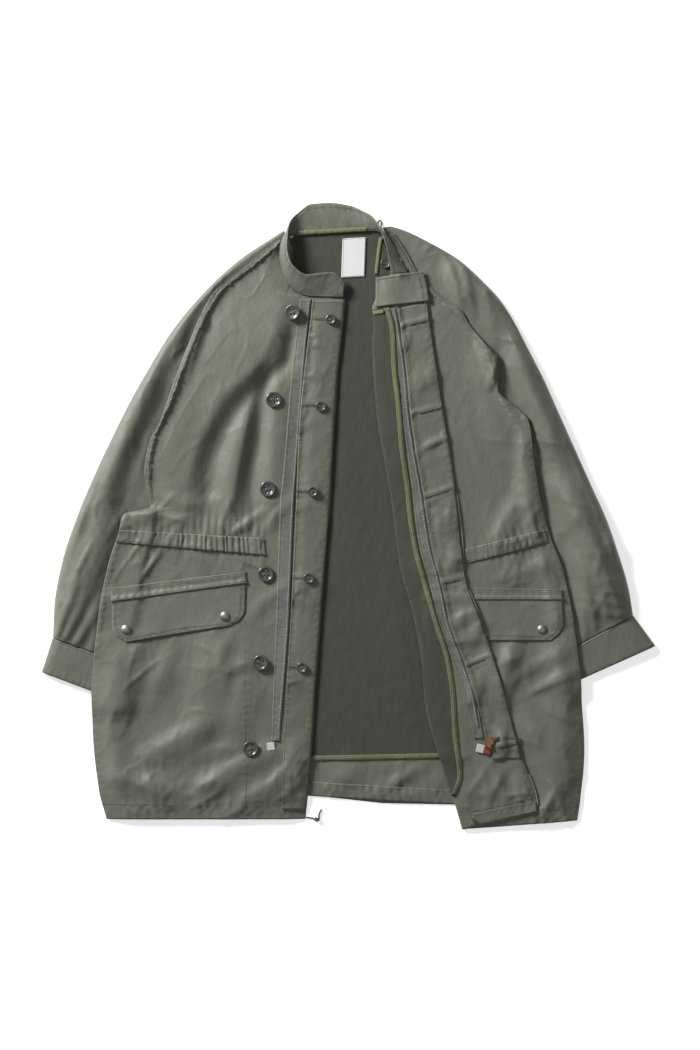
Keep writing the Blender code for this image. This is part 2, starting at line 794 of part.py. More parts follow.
def add_folded_front(name, lower, upper, wall):
    """The left front: its outside lies up as far as the fold, and its inside lies up on the strip past it."""
    rows = upper.shape[0]
    start, end = lower[:rows, 0], upper[:, 0]
    turns = np.linspace(0, math.pi, 7)
    middle, half = (start[:, 2] + end[:, 2]) / 2, (end[:, 2] - start[:, 2]) / 2
    roll = np.empty((rows, len(turns), 3))
    for j, turn in enumerate(turns):
        share = j / (len(turns) - 1)
        roll[:, j, :2] = start[:, :2] * (1 - share) + end[:, :2] * share
        roll[:, j, 0] -= FOLD_REACH * math.sin(turn)
        roll[:, j, 2] = middle - half * math.cos(turn)
    strip = np.concatenate([roll, upper[:, 1:]], axis=1)
    add_cloth(name, [(lower, False), (strip, True)], wall, SAGE)


# ------------------------------------------------------------------ fastenings


def add_turned(name, profile, diameter, height, at, tip, colour, roughness, metallic, steps):
    """A button or snap: its half profile turned about its own axis."""
    mesh = bpy.data.meshes.new(name)
    bm = bmesh.new()
    points = [bm.verts.new((r * diameter / 2 * MM, 0, z * height * MM)) for r, z in profile]
    for a, b in zip(points, points[1:]):
        bm.edges.new((a, b))
    bm.to_mesh(mesh)
    bm.free()
    made = add_object(name, mesh, colour, roughness, metallic)
    made.location = Vector(at) * MM
    made.rotation_euler = (0, math.radians(tip), 0)
    screw = made.modifiers.new("turn", "SCREW")
    screw.steps = screw.render_steps = steps
    screw.use_merge_vertices = True
    screw.merge_threshold = 1e-5
    screw.use_normal_calculate = True
    return made


def world_mesh(obj, graph):
    """The object's finished mesh in the world: its points and its triangles."""
    shown = obj.evaluated_get(graph)
    mesh = shown.to_mesh()
    mesh.calc_loop_triangles()
    points = [shown.matrix_world @ vert.co for vert in mesh.vertices]
    faces = [tuple(face.vertices) for face in mesh.loop_triangles]
    shown.to_mesh_clear()
    return points, faces


def seat(name, moved=None):
    """Lowers a small piece, or the frame that carries it, onto the cloth until only the gap is left."""
    bpy.context.view_layer.update()
    graph = bpy.context.evaluated_depsgraph_get()
    piece = bpy.data.objects[name]
    points, faces = world_mesh(piece, graph)
    tree = BVHTree.FromPolygons(points, faces)
    low, high = np.min(points, axis=0), np.max(points, axis=0)
    down, up = Vector((0, 0, -1)), Vector((0, 0, 1))
    clear = []
    for other in bpy.data.collections["field_jacket"].objects:
        if other == piece or other.type == "EMPTY":
            continue
        around, triangles = world_mesh(other, graph)
        if (np.min(around, axis=0)[:2] > high[:2]).any() or (np.max(around, axis=0)[:2] < low[:2]).any():
            continue
        below = BVHTree.FromPolygons(around, triangles)
        clear += [below.ray_cast(point, down)[3] for point in points]
        clear += [tree.ray_cast(point, up)[3] for point in around]
    (moved or piece).location.z -= min(gap for gap in clear if gap is not None) - SEAT_GAP * MM


def add_fastening(pile, name, profile, diameter, height, x, y, tip, colour, roughness, metallic, steps):
    """A button or snap on the cloth at this place, clear of it when tipped."""
    low = pile.highest(x, y, diameter / 2) + GAP + diameter / 2 * math.sin(math.radians(abs(tip)))
    add_turned(name, profile, diameter, height, (x, y, low), tip, colour, roughness, metallic, steps)
    seat(name)


def add_block(name, place, colour, roughness, pile):
    """A small end box: a bevelled block on the cloth."""
    x, y, wide, long, high, turn = place
    low = pile.highest(x, y, math.hypot(wide, long) / 2) + GAP
    mesh = bpy.data.meshes.new(name)
    bm = bmesh.new()
    bmesh.ops.create_cube(bm, size=1, matrix=Matrix.Diagonal((wide * MM, long * MM, high * MM, 1)))
    bmesh.ops.bevel(bm, geom=bm.edges[:], offset=0.5 * MM, segments=1, affect="EDGES")
    bm.to_mesh(mesh)
    bm.free()
    made = add_object(name, mesh, colour, roughness)
    made.location = Vector((x, y, low + high / 2)) * MM
    made.rotation_euler = (0, 0, math.radians(turn))
    seat(name)


def joined(obj, cutters, operation):
    """Joins or cuts the object with each helper, which stays out of the render."""
    for cutter in cutters:
        cutter.hide_render = True
        cutter.display_type = "WIRE"
        step = obj.modifiers.new("shape", "BOOLEAN")
        step.operation = operation
        step.solver = "EXACT"
        step.object = cutter


def helper(name, kind, parent, at, size, turn=(0, 0, 0)):
    """A box or cylinder that shapes another object."""
    bm = bmesh.new()
    if kind == "box":
        bmesh.ops.create_cube(bm, size=1, matrix=Matrix.Diagonal((*size, 1)))
    else:
        radius, depth = size
        bmesh.ops.create_cone(
            bm, cap_ends=True, segments=14, radius1=radius, radius2=radius, depth=depth
        )
    mesh = bpy.data.meshes.new(name)
    bm.to_mesh(mesh)
    bm.free()
    made = bpy.data.objects.new(name, mesh)
    made.parent = parent
    made.location = at
    made.rotation_euler = turn
    return made


def in_shapers(obj):
    bpy.data.collections["shapers"].objects.link(obj)
    return obj


def add_slider(pile):
    """The slider stays where the zip ends; its pull tab turns about the pin between its lugs."""
    x, y = SLIDER_AT
    wide, long, high = (value * MM for value in SLIDER_SIZE)
    low = pile.highest(x, y, SLIDER_SIZE[1] / 2) + GAP
    frame = bpy.data.objects.new("slider_frame", None)
    frame.location = Vector((x, y, low)) * MM
    frame.rotation_euler = (0, 0, math.radians(SLIDER_TURN))
    bpy.data.collections["field_jacket"].objects.link(frame)

    body = helper("zip_slider", "box", frame, (0, 0, high / 2), (wide, long, high))
    bpy.data.collections["field_jacket"].objects.link(body)
    body.data.materials.append(material_of("zip_slider", PULL_ORANGE, 0.4, 0.3))
    lug_wide, lug_long, lug_high = (value * MM for value in LUG)
    hinge = Vector((0, HINGE_ALONG, SLIDER_SIZE[2] + HINGE_UP)) * MM
    lugs = []
    for side in (-1, 1):
        at = (side * (wide - lug_wide) / 2, hinge.y, high - 0.5 * MM + lug_high / 2)
        lugs.append(in_shapers(helper("slider_lug", "box", frame, at, (lug_wide, lug_long, lug_high))))
    across_slider = (0, math.radians(90), 0)
    pin = in_shapers(helper("slider_pin", "rod", frame, hinge, (PIN_RADIUS * MM, wide - lug_wide), across_slider))
    joined(body, [*lugs, pin], "UNION")
    seat("zip_slider", frame)

    hinge_frame = bpy.data.objects.new("hinge_frame", None)
    hinge_frame.parent = frame
    hinge_frame.location = hinge
    bpy.data.collections["field_jacket"].objects.link(hinge_frame)
    tab_wide, tab_long, tab_high = (value * MM for value in TAB_SIZE)
    barrel_long = (SLIDER_SIZE[0] - 2 * LUG[0] - 0.7) * MM
    plate_at = Vector((0, tab_long / 2 + 1.2 * MM, 0))
    tab = helper("pull_tab", "box", hinge_frame, plate_at, (tab_wide, tab_long, tab_high))
    bpy.data.collections["field_jacket"].objects.link(tab)
    tab.data.materials.append(material_of("pull_tab", PULL_ORANGE, 0.4, 0.0))
    barrel = helper("tab_barrel", "rod", hinge_frame, (0, 0, 0), (BARREL_RADIUS * MM, barrel_long), across_slider)
    neck_side = (tab_wide - barrel_long) / 2 + 0.5 * MM
    notches = [
        helper(
            "tab_notch",
            "box",
            hinge_frame,
            (side * (barrel_long + neck_side) / 2, LUG[1] / 2 * MM, 0),
            (neck_side, LUG[1] * MM, 4 * tab_high),
        )
        for side in (-1, 1)
    ]
    bore = helper("tab_bore", "rod", hinge_frame, (0, 0, 0), (BARREL_HOLE * MM, 2 * barrel_long), across_slider)
    eye_at = (0, tab_long - 1.6 * MM, 0)
    eye = helper("tab_eye", "rod", hinge_frame, eye_at, (TAB_HOLE * MM, 4 * tab_high))
    joined(tab, [in_shapers(barrel)], "UNION")
    joined(tab, [in_shapers(shaper) for shaper in (*notches, bore, eye)], "DIFFERENCE")
    turn = Matrix.Rotation(math.radians(SLIDER_TURN), 3, "Z")
    add_pull_loop(pile, frame.location + turn @ (hinge + Vector(eye_at)))


def add_tube_curve(name, route, radius, colour, resolution=2):
    """A cord: a tube along straight steps between these points, in metres."""
    curve = bpy.data.curves.new(name, "CURVE")
    curve.dimensions = "3D"
    curve.bevel_depth = radius
    curve.bevel_resolution = resolution
    curve.use_fill_caps = True
    spline = curve.splines.new("POLY")
    spline.points.add(len(route) - 1)
    for point, at in zip(spline.points, route):
        point.co = (*at, 1)
    return add_object(name, curve, colour, 0.7)


def add_pull_loop(pile, eye):
    """The cord through the tab's hole: a turn about the hole's rim, a knot, then a long loop over the fly."""
    out = Vector(PULL_LOOP_WAY).normalized()
    side = Vector((-out.y, out.x, 0))
    bend = TAB_SIZE[2] / 2 + PULL_CORD / 2 + PULL_LOOP_CLEAR

    def placed(along, aside, up):
        return tuple(eye + (out * along + side * aside + Vector((0, 0, up))) * MM)

    turn_middle = bend - 0.5
    turns = np.linspace(-math.pi / 2, math.pi / 2, 9)
    rim = [placed(turn_middle - bend * math.cos(a), 0, -bend * math.sin(a)) for a in turns]
    knot_start = PULL_KNOT_ALONG - PULL_KNOT[0] - 0.3
    ends = [placed(knot_start, 0, bend), placed(knot_start, 0, -bend)]
    add_tube_curve("pull_eye", [ends[0], *rim, ends[1]], PULL_CORD / 2 * MM, CORD_GREEN)

    lying = [lying_height(pile, placed(s, 0, 0), PULL_LOOP_SPREAD) for s in PULL_LOOP_STEPS]
    up = [height / MM - eye.z / MM for height in lying]
    knot_up = max(0.0, up[0] - PULL_CORD / 2 + PULL_KNOT[2])
    add_ball("pull_knot", [c / MM for c in placed(PULL_KNOT_ALONG, 0, knot_up)], PULL_KNOT, CORD_GREEN)
    spread = PULL_LOOP_SPREAD / 2
    heights = [max(up[0], knot_up), *up[1:]]
    near = [placed(s, spread, h) for s, h in zip(PULL_LOOP_STEPS, heights)]
    far = [placed(s, -spread, h) for s, h in zip(PULL_LOOP_STEPS, heights)][::-1]
    bows = np.linspace(0, math.pi, 7)[1:-1]
    end = [placed(PULL_LOOP_STEPS[-1] + spread * math.sin(a), spread * math.cos(a), up[-1]) for a in bows]
    add_tube_curve("pull_cord", [*near, *end, *far], PULL_CORD / 2 * MM, CORD_GREEN)


def lying_height(pile, at, radius):
    """The height of a cord's middle where it lies on the cloth."""
    return (pile.highest(at[0] / MM, at[1] / MM, radius) + GAP + PULL_CORD / 2) * MM


def add_hanging_loop():
    """The small loop sewn to the outside of the neck seam."""
    add_tube_curve("hanging_loop", [tuple(c * MM for c in p) for p in HANGING_LOOP], HANGER / 2 * MM, CORD_GREEN)


def add_hem_cord(pile):
    """The drawstring's end at the right front's hem, with its knot."""
    low = CORD / 2 + 0.1
    route = [(-63.0, -437, low), (-59, -437.4, low), (-55, -438, low), (-51.4, -438.6, low)]
    add_tube_curve("hem_cord", [tuple(c * MM for c in p) for p in route], CORD / 2 * MM, CORD_GREEN)
    add_ball("hem_cord_knot", (-47.6, -439.6, 3.4), (3.6, 3.8, 3.2), CORD_GREEN)
    tail = [(-46.1, -435.9, low), (-44.2, -432, low), (-42.4, -428.6, low), (-40.2, -425.4, low)]
    add_tube_curve("hem_cord_tail", [tuple(c * MM for c in p) for p in tail], CORD / 2 * MM, CORD_GREEN)
    x, y = HEM_KNOT_LEFT
    radii = (3.2, 3.4, 2.6)
    add_ball("hem_knot_left", (x, y, pile.highest(x, y, radii[1]) + GAP + radii[2]), radii, CORD_GREEN)


def add_ball(name, at, radii, colour):
    bm = bmesh.new()
    bmesh.ops.create_uvsphere(bm, u_segments=8, v_segments=6, radius=1, matrix=Matrix.Diagonal((*radii, 1)))
    mesh = bpy.data.meshes.new(name)
    bm.to_mesh(mesh)
    bm.free()
    mesh.transform(Matrix.Scale(MM, 4))
    made = add_object(name, mesh, colour, 0.7)
    made.location = Vector(at) * MM


# ------------------------------------------------------------------ the jacket, from the floor up


def hem_rise(plan):
    """Moves the back panel's hem up to its own line, fading up the panel."""
    straight = plan[0, 0, 1] + (plan[0, -1, 1] - plan[0, 0, 1]) * (plan[..., 0] - plan[0, 0, 0]) / np.ptp(plan[0, :, 0])
    up = np.clip((plan[..., 1] - straight) / BACK_HEM_FADE, 0, 1)
    rise = np.interp(plan[..., 0], BACK_HEM["x"], BACK_HEM["rise"])
    plan[..., 1] += rise * (1 - up) ** 2
    return plan


def lay_sleeves(pile):
    """Lays the sleeves and cuffs, and gives the sleeves' upper faces, which the fronts lap onto."""
    faces = [
        add_tube(pile, "sleeve_right", SLEEVE_RIGHT, 21, 13, SHELL_WALL, SLEEVE_RIGHT_FOLDS, True),
        add_tube(pile, "sleeve_left", SLEEVE_LEFT, 21, 13, SHELL_WALL, SLEEVE_LEFT_FOLDS, False),
    ]
    flat = table(FOLDS, (0, 0, 1, 0, 1, 0))
    add_tube(pile, "cuff_right", CUFF_RIGHT, 3, 11, DOUBLE_WALL, flat, True)
    add_tube(pile, "cuff_left", CUFF_LEFT, 3, 11, DOUBLE_WALL, flat, False)
    return faces


def lay_back(pile, sleeve_faces):
    """The back lies over the tucked sleeves, and meets them edge to edge above the underarms."""
    plan = hem_rise(plan_of(BACK_PANEL, 24, 15))
    lay_plan(pile, "back_panel", plan, SHELL_WALL, SAGE)
    for face in sleeve_faces:
        pile.add(face)
    lay(pile, "back_lining", BACK_LINING, 14, 7, LINING_WALL, LINING)
    lay(pile, "back_hem", BACK_HEM_FOLD, 3, 8, LINING_WALL, SAGE)
    lay(pile, "lining_binding", LINING_BINDING, 2, 8, TRIM_WALL, OLIVE_BINDING)
    lay(pile, "label", LABEL, 4, 3, TRIM_WALL, WHITE)
    lay(pile, "neck_binding_left", NECK_BINDING_LEFT, 6, 2, TRIM_WALL, OLIVE_BINDING)
    x, y = COLLAR_BUTTON
    add_fastening(
        pile, "collar_button", BUTTON_PROFILE, SMALL_BUTTON, 3.0, x, y, 0, BUTTON_GREY, 0.25, 0.0, 12
    )


def lay_front_right(pile):
    lay(
        pile,
        "front_right",
        FRONT_RIGHT,
        36,
        15,
        SHELL_WALL,
        SAGE,
        relief=lambda plan: ridges(plan, FRONT_RIGHT_FOLDS),
        reach=14,
        swell=(2.0, 26.0),
    )
    lay(pile, "zip_tape_right", ZIP_TAPE_RIGHT, 22, 3, TRIM_WALL, TAPE_GREY)
    lay(pile, "placket_right", PLACKET_RIGHT, 26, 4, SHELL_WALL, SAGE)
    sheet_with_gathers(pile, "casing_right", CASING_RIGHT, 3, CASING_RIGHT_GATHERS, LINING_WALL, SAGE)
    lay(pile, "flap_right", FLAP_RIGHT, 5, 12, SHELL_WALL, SAGE, swell=(1.0, 14.0))
    lay(pile, "band_right", BAND_RIGHT, 3, 12, LINING_WALL, SAGE)
    add_block("zip_box_right", ZIP_BOX_RIGHT, WHITE, 0.45, pile)


def lay_front_left(pile):
    down, over = 34, 11
    lower_plan = plan_of(FRONT_LEFT, down, over)
    lower_plan[:, 0, 0] += FOLD_REACH
    raised = ridges(lower_plan, FRONT_LEFT_FOLDS) + edge_swell(lower_plan, 2.0, 26.0)
    lower = pile.rest(lower_plan, raised, 14)
    pile.add(lower + normals(lower) * SHELL_WALL)
    sheet_with_gathers(pile, "casing_left", CASING_LEFT, 3, CASING_LEFT_GATHERS, LINING_WALL, SAGE)
    lay(pile, "flap_left", FLAP_LEFT, 5, 11, SHELL_WALL, SAGE, swell=(1.0, 14.0))
    lay(pile, "band_left", BAND_LEFT, 2, 11, LINING_WALL, SAGE)

    rows = strip_rows(lower)
    upper_plan = strip_plan(lower[:rows], 6)
    near_fold = np.clip(1 - (upper_plan[..., 0] - upper_plan[:, :1, 0]) / 30, 0, 1)
    upper = pile.rest(upper_plan, near_fold * (FOLD_ROLL - 2 * SHELL_WALL), 8)
    upper[..., 2] += SHELL_WALL
    pile.add(upper)
    add_folded_front("front_left", lower, upper, SHELL_WALL)

    lay(pile, "facing_left", FACING_LEFT, 28, 4, LINING_WALL, LINING)
    lay(pile, "zip_tape_left", ZIP_TAPE_LEFT, 24, 3, TRIM_WALL, TAPE_GREY)
    lay(pile, "facing_binding", FACING_BINDING, 26, 2, TRIM_WALL, OLIVE_BINDING)
    lay(pile, "fly_left", FLY_LEFT, 44, 4, LINING_WALL, SAGE, relief=fly_puckers)
    lay(pile, "strip_hem", STRIP_HEM_FOLD, 3, 7, LINING_WALL, SAGE)
    add_block("zip_box_left", ZIP_BOX_LEFT, WHITE, 0.45, pile)


def strip_rows(lower):
    """How many of the front's rows reach the folded strip's height."""
    return int(np.sum(lower[:, 0, 1] <= TURNED_STRIP["left_y"][-1] + 0.5))


def strip_plan(lower, over):
    """The folded strip's plan, on the same rows as the front below it."""
    knots = TURNED_STRIP["left_y"]
    share = across(over, 0.25)
    plan = np.empty((len(lower), over, 2))
    start = lower[:, 0, :2]
    for k, axis in enumerate("xy"):
        end = smooth(knots, TURNED_STRIP["right_" + axis], start[:, 1])
        plan[..., k] = start[:, k, None] + (end - start[:, k])[:, None] * share
    return plan


def fly_puckers(plan):
    """Ridges across the fly beside its buttonholes."""
    total = np.zeros(plan.shape[:2])
    for y, height in zip(*FLY_PUCKERS.values()):
        total = np.maximum(total, height * np.exp(-(((plan[..., 1] - y) / PUCKER_HALF_WIDTH) ** 2)))
    return total


def lay_collar(pile):
    """The stand collar: its right end and sides stand and lean in, and its back lies open."""
    columns = resampled_collar(44)
    shares = np.linspace(0, 1, 5)
    base = np.stack([columns["base_" + axis] for axis in "xyz"], 1)[:, None]
    rim = np.stack([columns["rim_" + axis] for axis in "xyz"], 1)[:, None]
    points = base + (rim - base) * shares[None, :, None]
    bulge = np.sin(shares * math.pi) * 1.5
    points[..., 2] += bulge
    clear = pile.rest(points[..., :2], 0.0)[..., 2] + 0.3
    points[..., 2] = np.maximum(points[..., 2], clear)
    add_cloth("collar", [(points, False)], DOUBLE_WALL, SAGE)
    pile.add(points + np.array([0, 0, DOUBLE_WALL]))
    lay(pile, "neck_binding", NECK_BINDING, 3, 9, TRIM_WALL, OLIVE_BINDING)
    seat("neck_binding")
    lay(pile, "collar_left_end", COLLAR_END, 6, 8, DOUBLE_WALL, SAGE, reach=8, swell=(1.0, 18.0), taut=30)
    seat("collar_left_end")


def resampled_collar(count):
    knots = stations(COLLAR, "base", "rim")
    at = np.linspace(0, 1, count)
    return {name: smooth(knots, values, at) for name, values in COLLAR.items()}


def add_fastenings(pile):
    for i, (x, y, tip) in enumerate(zip(*BIG_BUTTONS.values()), 1):
        add_fastening(
            pile, f"button_big_{i}", BUTTON_PROFILE, BIG_BUTTON, 3.6, x, y, tip, BUTTON_GREY, 0.25, 0.0, 14
        )
    for i, (x, y, tip) in enumerate(zip(*SMALL_BUTTONS.values()), 1):
        add_fastening(
            pile, f"button_small_{i}", BUTTON_PROFILE, SMALL_BUTTON, 3.0, x, y, tip, BUTTON_GREY, 0.25, 0.0, 12
        )
    for i, (x, y) in enumerate(zip(*SNAPS.values()), 1):
        add_fastening(pile, f"snap_{i}", SNAP_PROFILE, SNAP, 3.4, x, y, 0, STEEL, 0.3, 1.0, 10)


def main():
    for obj in list(bpy.data.objects):
        bpy.data.objects.remove(obj)
    for name in ("field_jacket", "shapers"):
        collection = bpy.data.collections.new(name)
        bpy.context.scene.collection.children.link(collection)
    bpy.data.collections["shapers"].hide_render = True
    pile = Pile()
    lay_back(pile, lay_sleeves(pile))
    lay_front_right(pile)
    lay_front_left(pile)
    add_fastenings(pile)
    add_slider(pile)
    lay_collar(pile)
    add_hem_cord(pile)
    add_hanging_loop()
    for obj in bpy.data.collections["field_jacket"].objects:
        if obj.parent is None:
            obj.location.x += CENTRING * MM
    bpy.context.view_layer.update()


main()
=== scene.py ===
"""Field jacket laid flat: its cloth, trims, fastenings and finishes, with the floor, light and camera.

It is laid out as an add-on and run as a script. Outlines are in millimetres on the jacket's plan: x to the
right, y towards the collar, z up from the floor. Folds and seams are placed by the photograph's pixels. Left
and right in the names of the pieces are the wearer's.
"""

import math

import bmesh
import bpy
import numpy as np
from bpy.props import FloatProperty, FloatVectorProperty, IntProperty, PointerProperty
from mathutils import Matrix, Vector
from mathutils.bvhtree import BVHTree


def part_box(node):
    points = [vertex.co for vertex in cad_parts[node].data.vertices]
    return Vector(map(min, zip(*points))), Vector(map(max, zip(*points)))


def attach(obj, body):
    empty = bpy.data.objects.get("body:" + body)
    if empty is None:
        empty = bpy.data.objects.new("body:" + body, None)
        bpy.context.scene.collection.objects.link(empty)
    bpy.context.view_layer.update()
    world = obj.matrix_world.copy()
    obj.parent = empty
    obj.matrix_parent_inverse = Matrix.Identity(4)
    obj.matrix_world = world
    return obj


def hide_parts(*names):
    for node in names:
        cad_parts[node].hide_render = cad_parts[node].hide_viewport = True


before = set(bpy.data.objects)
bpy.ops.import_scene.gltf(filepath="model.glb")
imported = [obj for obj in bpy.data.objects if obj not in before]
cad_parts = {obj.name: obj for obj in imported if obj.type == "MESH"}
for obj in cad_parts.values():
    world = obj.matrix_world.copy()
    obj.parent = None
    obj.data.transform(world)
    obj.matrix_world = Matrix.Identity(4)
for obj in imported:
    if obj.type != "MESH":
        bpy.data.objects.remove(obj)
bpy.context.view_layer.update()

bl_info = {
    "name": "Field jacket",
    "version": (1, 0, 0),
    "blender": (4, 5, 0),
    "location": "3D View > Sidebar > Jacket",
    "description": "Makes a field jacket laid flat, with its floor, light and camera",
    "category": "Object",
}

MM = 0.001
CENTRING = 1.5  # millimetres along x that bring the middle of the outline over the origin
PER_PIXEL = 1.45  # millimetres for one pixel of the photograph
PHOTO_LEFT = 506.8  # how far the plan's origin lies from the photograph's left side
PHOTO_TOP = 748.2  # and from its top
GAP = 0.42  # between two sheets that lie on each other
FOLD_ROLL = 3.6  # height of the roll where the left front turns back
FOLD_REACH = 3.0  # how far that roll stands out past the outline
ROLL_POINTS = 13  # faces round the roll
ROLL_ENDS = (-405, 296)  # where the lining starts and stops turning round it
JACKET, PULL = "jacket", "pull"


def table(columns, *rows):
    """A table's columns by name, a row for each station."""
    return dict(zip(columns.split(), np.array(rows, float).T))


def on_plan(px, py):
    """A pixel of the photograph, on the jacket's plan."""
    return PER_PIXEL * px - PHOTO_LEFT, PHOTO_TOP - PER_PIXEL * py


# ------------------------------------------------------------------ outlines

OUTLINE = "left_x left_y right_x right_y"
FRONT_RIGHT = table(
    OUTLINE,
    (-352, -439, -64, -439),
    (-363, -397, -60, -400),
    (-372, -310, -53, -310),
    (-373, -254, -50, -255),
    (-368, -193, -45, -195),
    (-360, -126, -40, -125),
    (-346, -62, -35, -62),
    (-333, -23, -32, -23),
    (-326, 2, -29, 5),
    (-288, 13, -27, 30),
    (-296, 62, -25, 80),
    (-287, 110, -22, 130),
    (-276, 128, -20, 155),
    (-253, 191, -17, 205),
    (-236, 238, -12, 255),
    (-217, 284, -8, 290),
    (-205, 309, -6, 314),
    (-193, 327, -70, 320),
    (-163, 348, -88, 338),
    (-127, 381, -97, 368),
    (-100, 403, -99, 395),
)
FRONT_LEFT = table(
    OUTLINE,
    (163, -454, 330, -441),
    (151, -412, 334, -412),
    (127, -339, 340, -339),
    (109, -267, 336, -267),
    (104, -230, 334, -232),
    (103, -195, 330, -193),
    (91, -137, 321, -132),
    (75, -80, 308, -75),
    (68, -35, 292, -33),
    (61, 22, 277, 20),
    (51, 80, 267, 80),
    (42, 130, 259, 136),
    (38, 160, 237, 160),
    (36, 190, 215, 182),
    (34, 225, 213, 228),
    (33, 250, 199, 244),
    (33, 277, 173, 277),
    (33, 290, 162, 296),
    (33, 304, 133, 318),
    (45, 326, 115, 333),
    (57, 350, 99, 351),
    (62, 372, 86, 375),
    (58, 390, 76, 392),
    (50, 405, 64, 409),
)
# The folded strip's free edge; its other edge is the fold.
STRIP_EDGE = table(
    "from_y x y",
    (-454, 272, -429),
    (-412, 271, -411),
    (-339, 249, -345),
    (-267, 227, -267),
    (-230, 214, -225),
    (-195, 205, -193),
    (-137, 185, -137),
    (-80, 165, -80),
    (-35, 163, -35),
    (22, 155, 28),
    (80, 148, 85),
    (130, 138, 135),
    (160, 134, 165),
    (190, 129, 195),
    (225, 123, 227),
    (250, 121, 252),
    (277, 118, 280),
    (290, 116, 297),
    (304, 114, 313),
)
BACK_PANEL = table(
    OUTLINE,
    (-352, -436, 330, -438),
    (-363, -397, 334, -405),
    (-371, -310, 339, -339),
    (-372, -254, 335, -267),
    (-367, -193, 329, -193),
    (-359, -126, 320, -132),
    (-345, -62, 307, -75),
    (-332, -23, 291, -33),
    (-325, 2, 276, 20),
    (-282, 16, 261, 55),
    (-288, 62, 246, 84),
    (-281, 110, 245, 117),
    (-271, 128, 232, 144),
    (-247, 191, 212, 182),
    (-238, 215, 202, 211),
    (-230, 238, 194, 240),
    (-211, 284, 163, 284),
    (-187, 325, 132, 313),
    (-157, 348, 100, 342),
    (-122, 381, 78, 368),
    (-93, 403, 60, 392),
    (-86, 412, 46, 420),
)
BACK_HEM = table("x rise", (-352, 0), (-200, 22), (-56, 32), (47, 21), (153, 19), (330, 0))
BACK_HEM_FADE = 300.0
BACK_LINING = table(
    OUTLINE,
    (-80, -352, 168, -347),
    (-75, -200, 135, -200),
    (-62, 0, 100, 0),
    (-52, 150, 72, 150),
    (-45, 285, 64, 290),
    (-72, 325, 64, 330),
    (-90, 352, 62, 352),
    (-95, 380, 56, 382),
    (-80, 408, 38, 417),
)
SLEEVE = "outer_x outer_y inner_x inner_y crest seam open"
SLEEVE_RIGHT = table(
    SLEEVE,
    (-430, -176, -326, -214, 11, 5, 0),
    (-428, -130, -316, -150, 15, 5, 0),
    (-416, -64, -301, -70, 17, 5, 0),
    (-397, -6, -284, 2, 17, 5, 0),
    (-373, 52, -291, 60, 17, 7, 1),
    (-346, 110, -283, 110, 17, 8, 1),
    (-317, 168, -258, 167, 17, 9, 1),
    (-292, 212, -240, 216, 16, 9, 1),
    (-256, 270, -217, 274, 14, 9, 1),
    (-207, 328, -187, 326, 11, 8, 1),
    (-160, 371, -143, 362, 9, 7, 1),
    (-117, 400, -107, 393, 8, 7, 1),
    (-95, 414, -92, 407, 7, 7, 1),
)
SLEEVE_LEFT = table(
    SLEEVE,
    (411, -144, 315, -196, 11, 5, 0),
    (405, -107, 300, -140, 15, 5, 0),
    (388, -49, 278, -70, 17, 5, 0),
    (373, -6, 262, -5, 17, 5, 0),
    (347, 52, 249, 60, 16, 5, 0),
    (321, 110, 248, 118, 16, 6, 0.6),
    (295, 168, 222, 168, 16, 8, 1),
    (282, 197, 209, 195, 15, 9, 1),
    (260, 240, 198, 240, 14, 9, 1),
    (237, 284, 165, 284, 13, 9, 1),
    (218, 313, 134, 313, 12, 8, 1),
    (191, 342, 102, 342, 10, 8, 1),
    (159, 371, 82, 368, 9, 7, 1),
    (117, 396, 65, 391, 8, 7, 1),
    (77, 415, 52.2, 410, 7, 7, 1),
    (60, 420, 48.2, 417.5, 6, 6, 1),
)
CUFF_RIGHT = table(SLEEVE, (-446, -226, -338, -267, 9, 7, 0), (-430.2, -176.5, -326.2, -214.5, 10, 7, 0))
CUFF_LEFT = table(SLEEVE, (443, -188, 330, -239, 9, 7, 0), (411.2, -144.4, 315.2, -196.4, 10, 7, 0))
PLACKET_RIGHT = table(
    OUTLINE,
    (-98, -425, -65, -425),
    (-96, -350, -57, -350),
    (-91, -255, -51, -255),
    (-84, -125, -41, -125),
    (-78, 5, -30, 5),
    (-73, 130, -23, 130),
    (-66, 205, -18, 205),
    (-56, 290, -9, 290),
    (-54, 312, -8, 313),
)
ZIP_TAPE_RIGHT = table(
    OUTLINE,
    (-113, -326, -101, -326),
    (-106, -144, -87, -144),
    (-100, 23, -80, 23),
    (-96, 60, -77, 60),
    (-87, 168, -69, 168),
    (-74, 290, -58, 290),
    (-71, 314, -55, 314),
)
CASING_RIGHT = table(OUTLINE, (-337, -38, -121, -57), (-332, -20, -124, -32))
FLAP_RIGHT = table(
    OUTLINE,
    (-322, -182, -172, -158),
    (-341, -168, -155, -146),
    (-343, -158, -151, -135),
    (-343, -121, -150, -95),
)
BAND_RIGHT = table(OUTLINE, (-344, -124, -149, -97), (-344, -104, -150, -80))
CASING_LEFT = table(OUTLINE, (130, -80, 286, -38), (130, -57, 283, -19))
FLAP_LEFT = table(
    OUTLINE,
    (134, -180, 291, -180),
    (118, -168, 304, -168),
    (115, -158, 309, -157),
    (114, -119, 307, -119),
)
BAND_LEFT = table(OUTLINE, (113, -121, 308, -121), (113, -103, 307, -106))
BACK_HEM_FOLD = table(OUTLINE, (-72, -405, 170, -419), (-72, -384, 168, -398))
LINING_BINDING = table(OUTLINE, (-74, -355, 164, -350), (-74, -348, 164, -343))
NECK_BINDING = table(OUTLINE, (-74, 407, 24, 412.5), (-74, 413, 24, 418.5))
LABEL = table(OUTLINE, (-12, 345, 22, 347), (-10, 402, 24, 404))
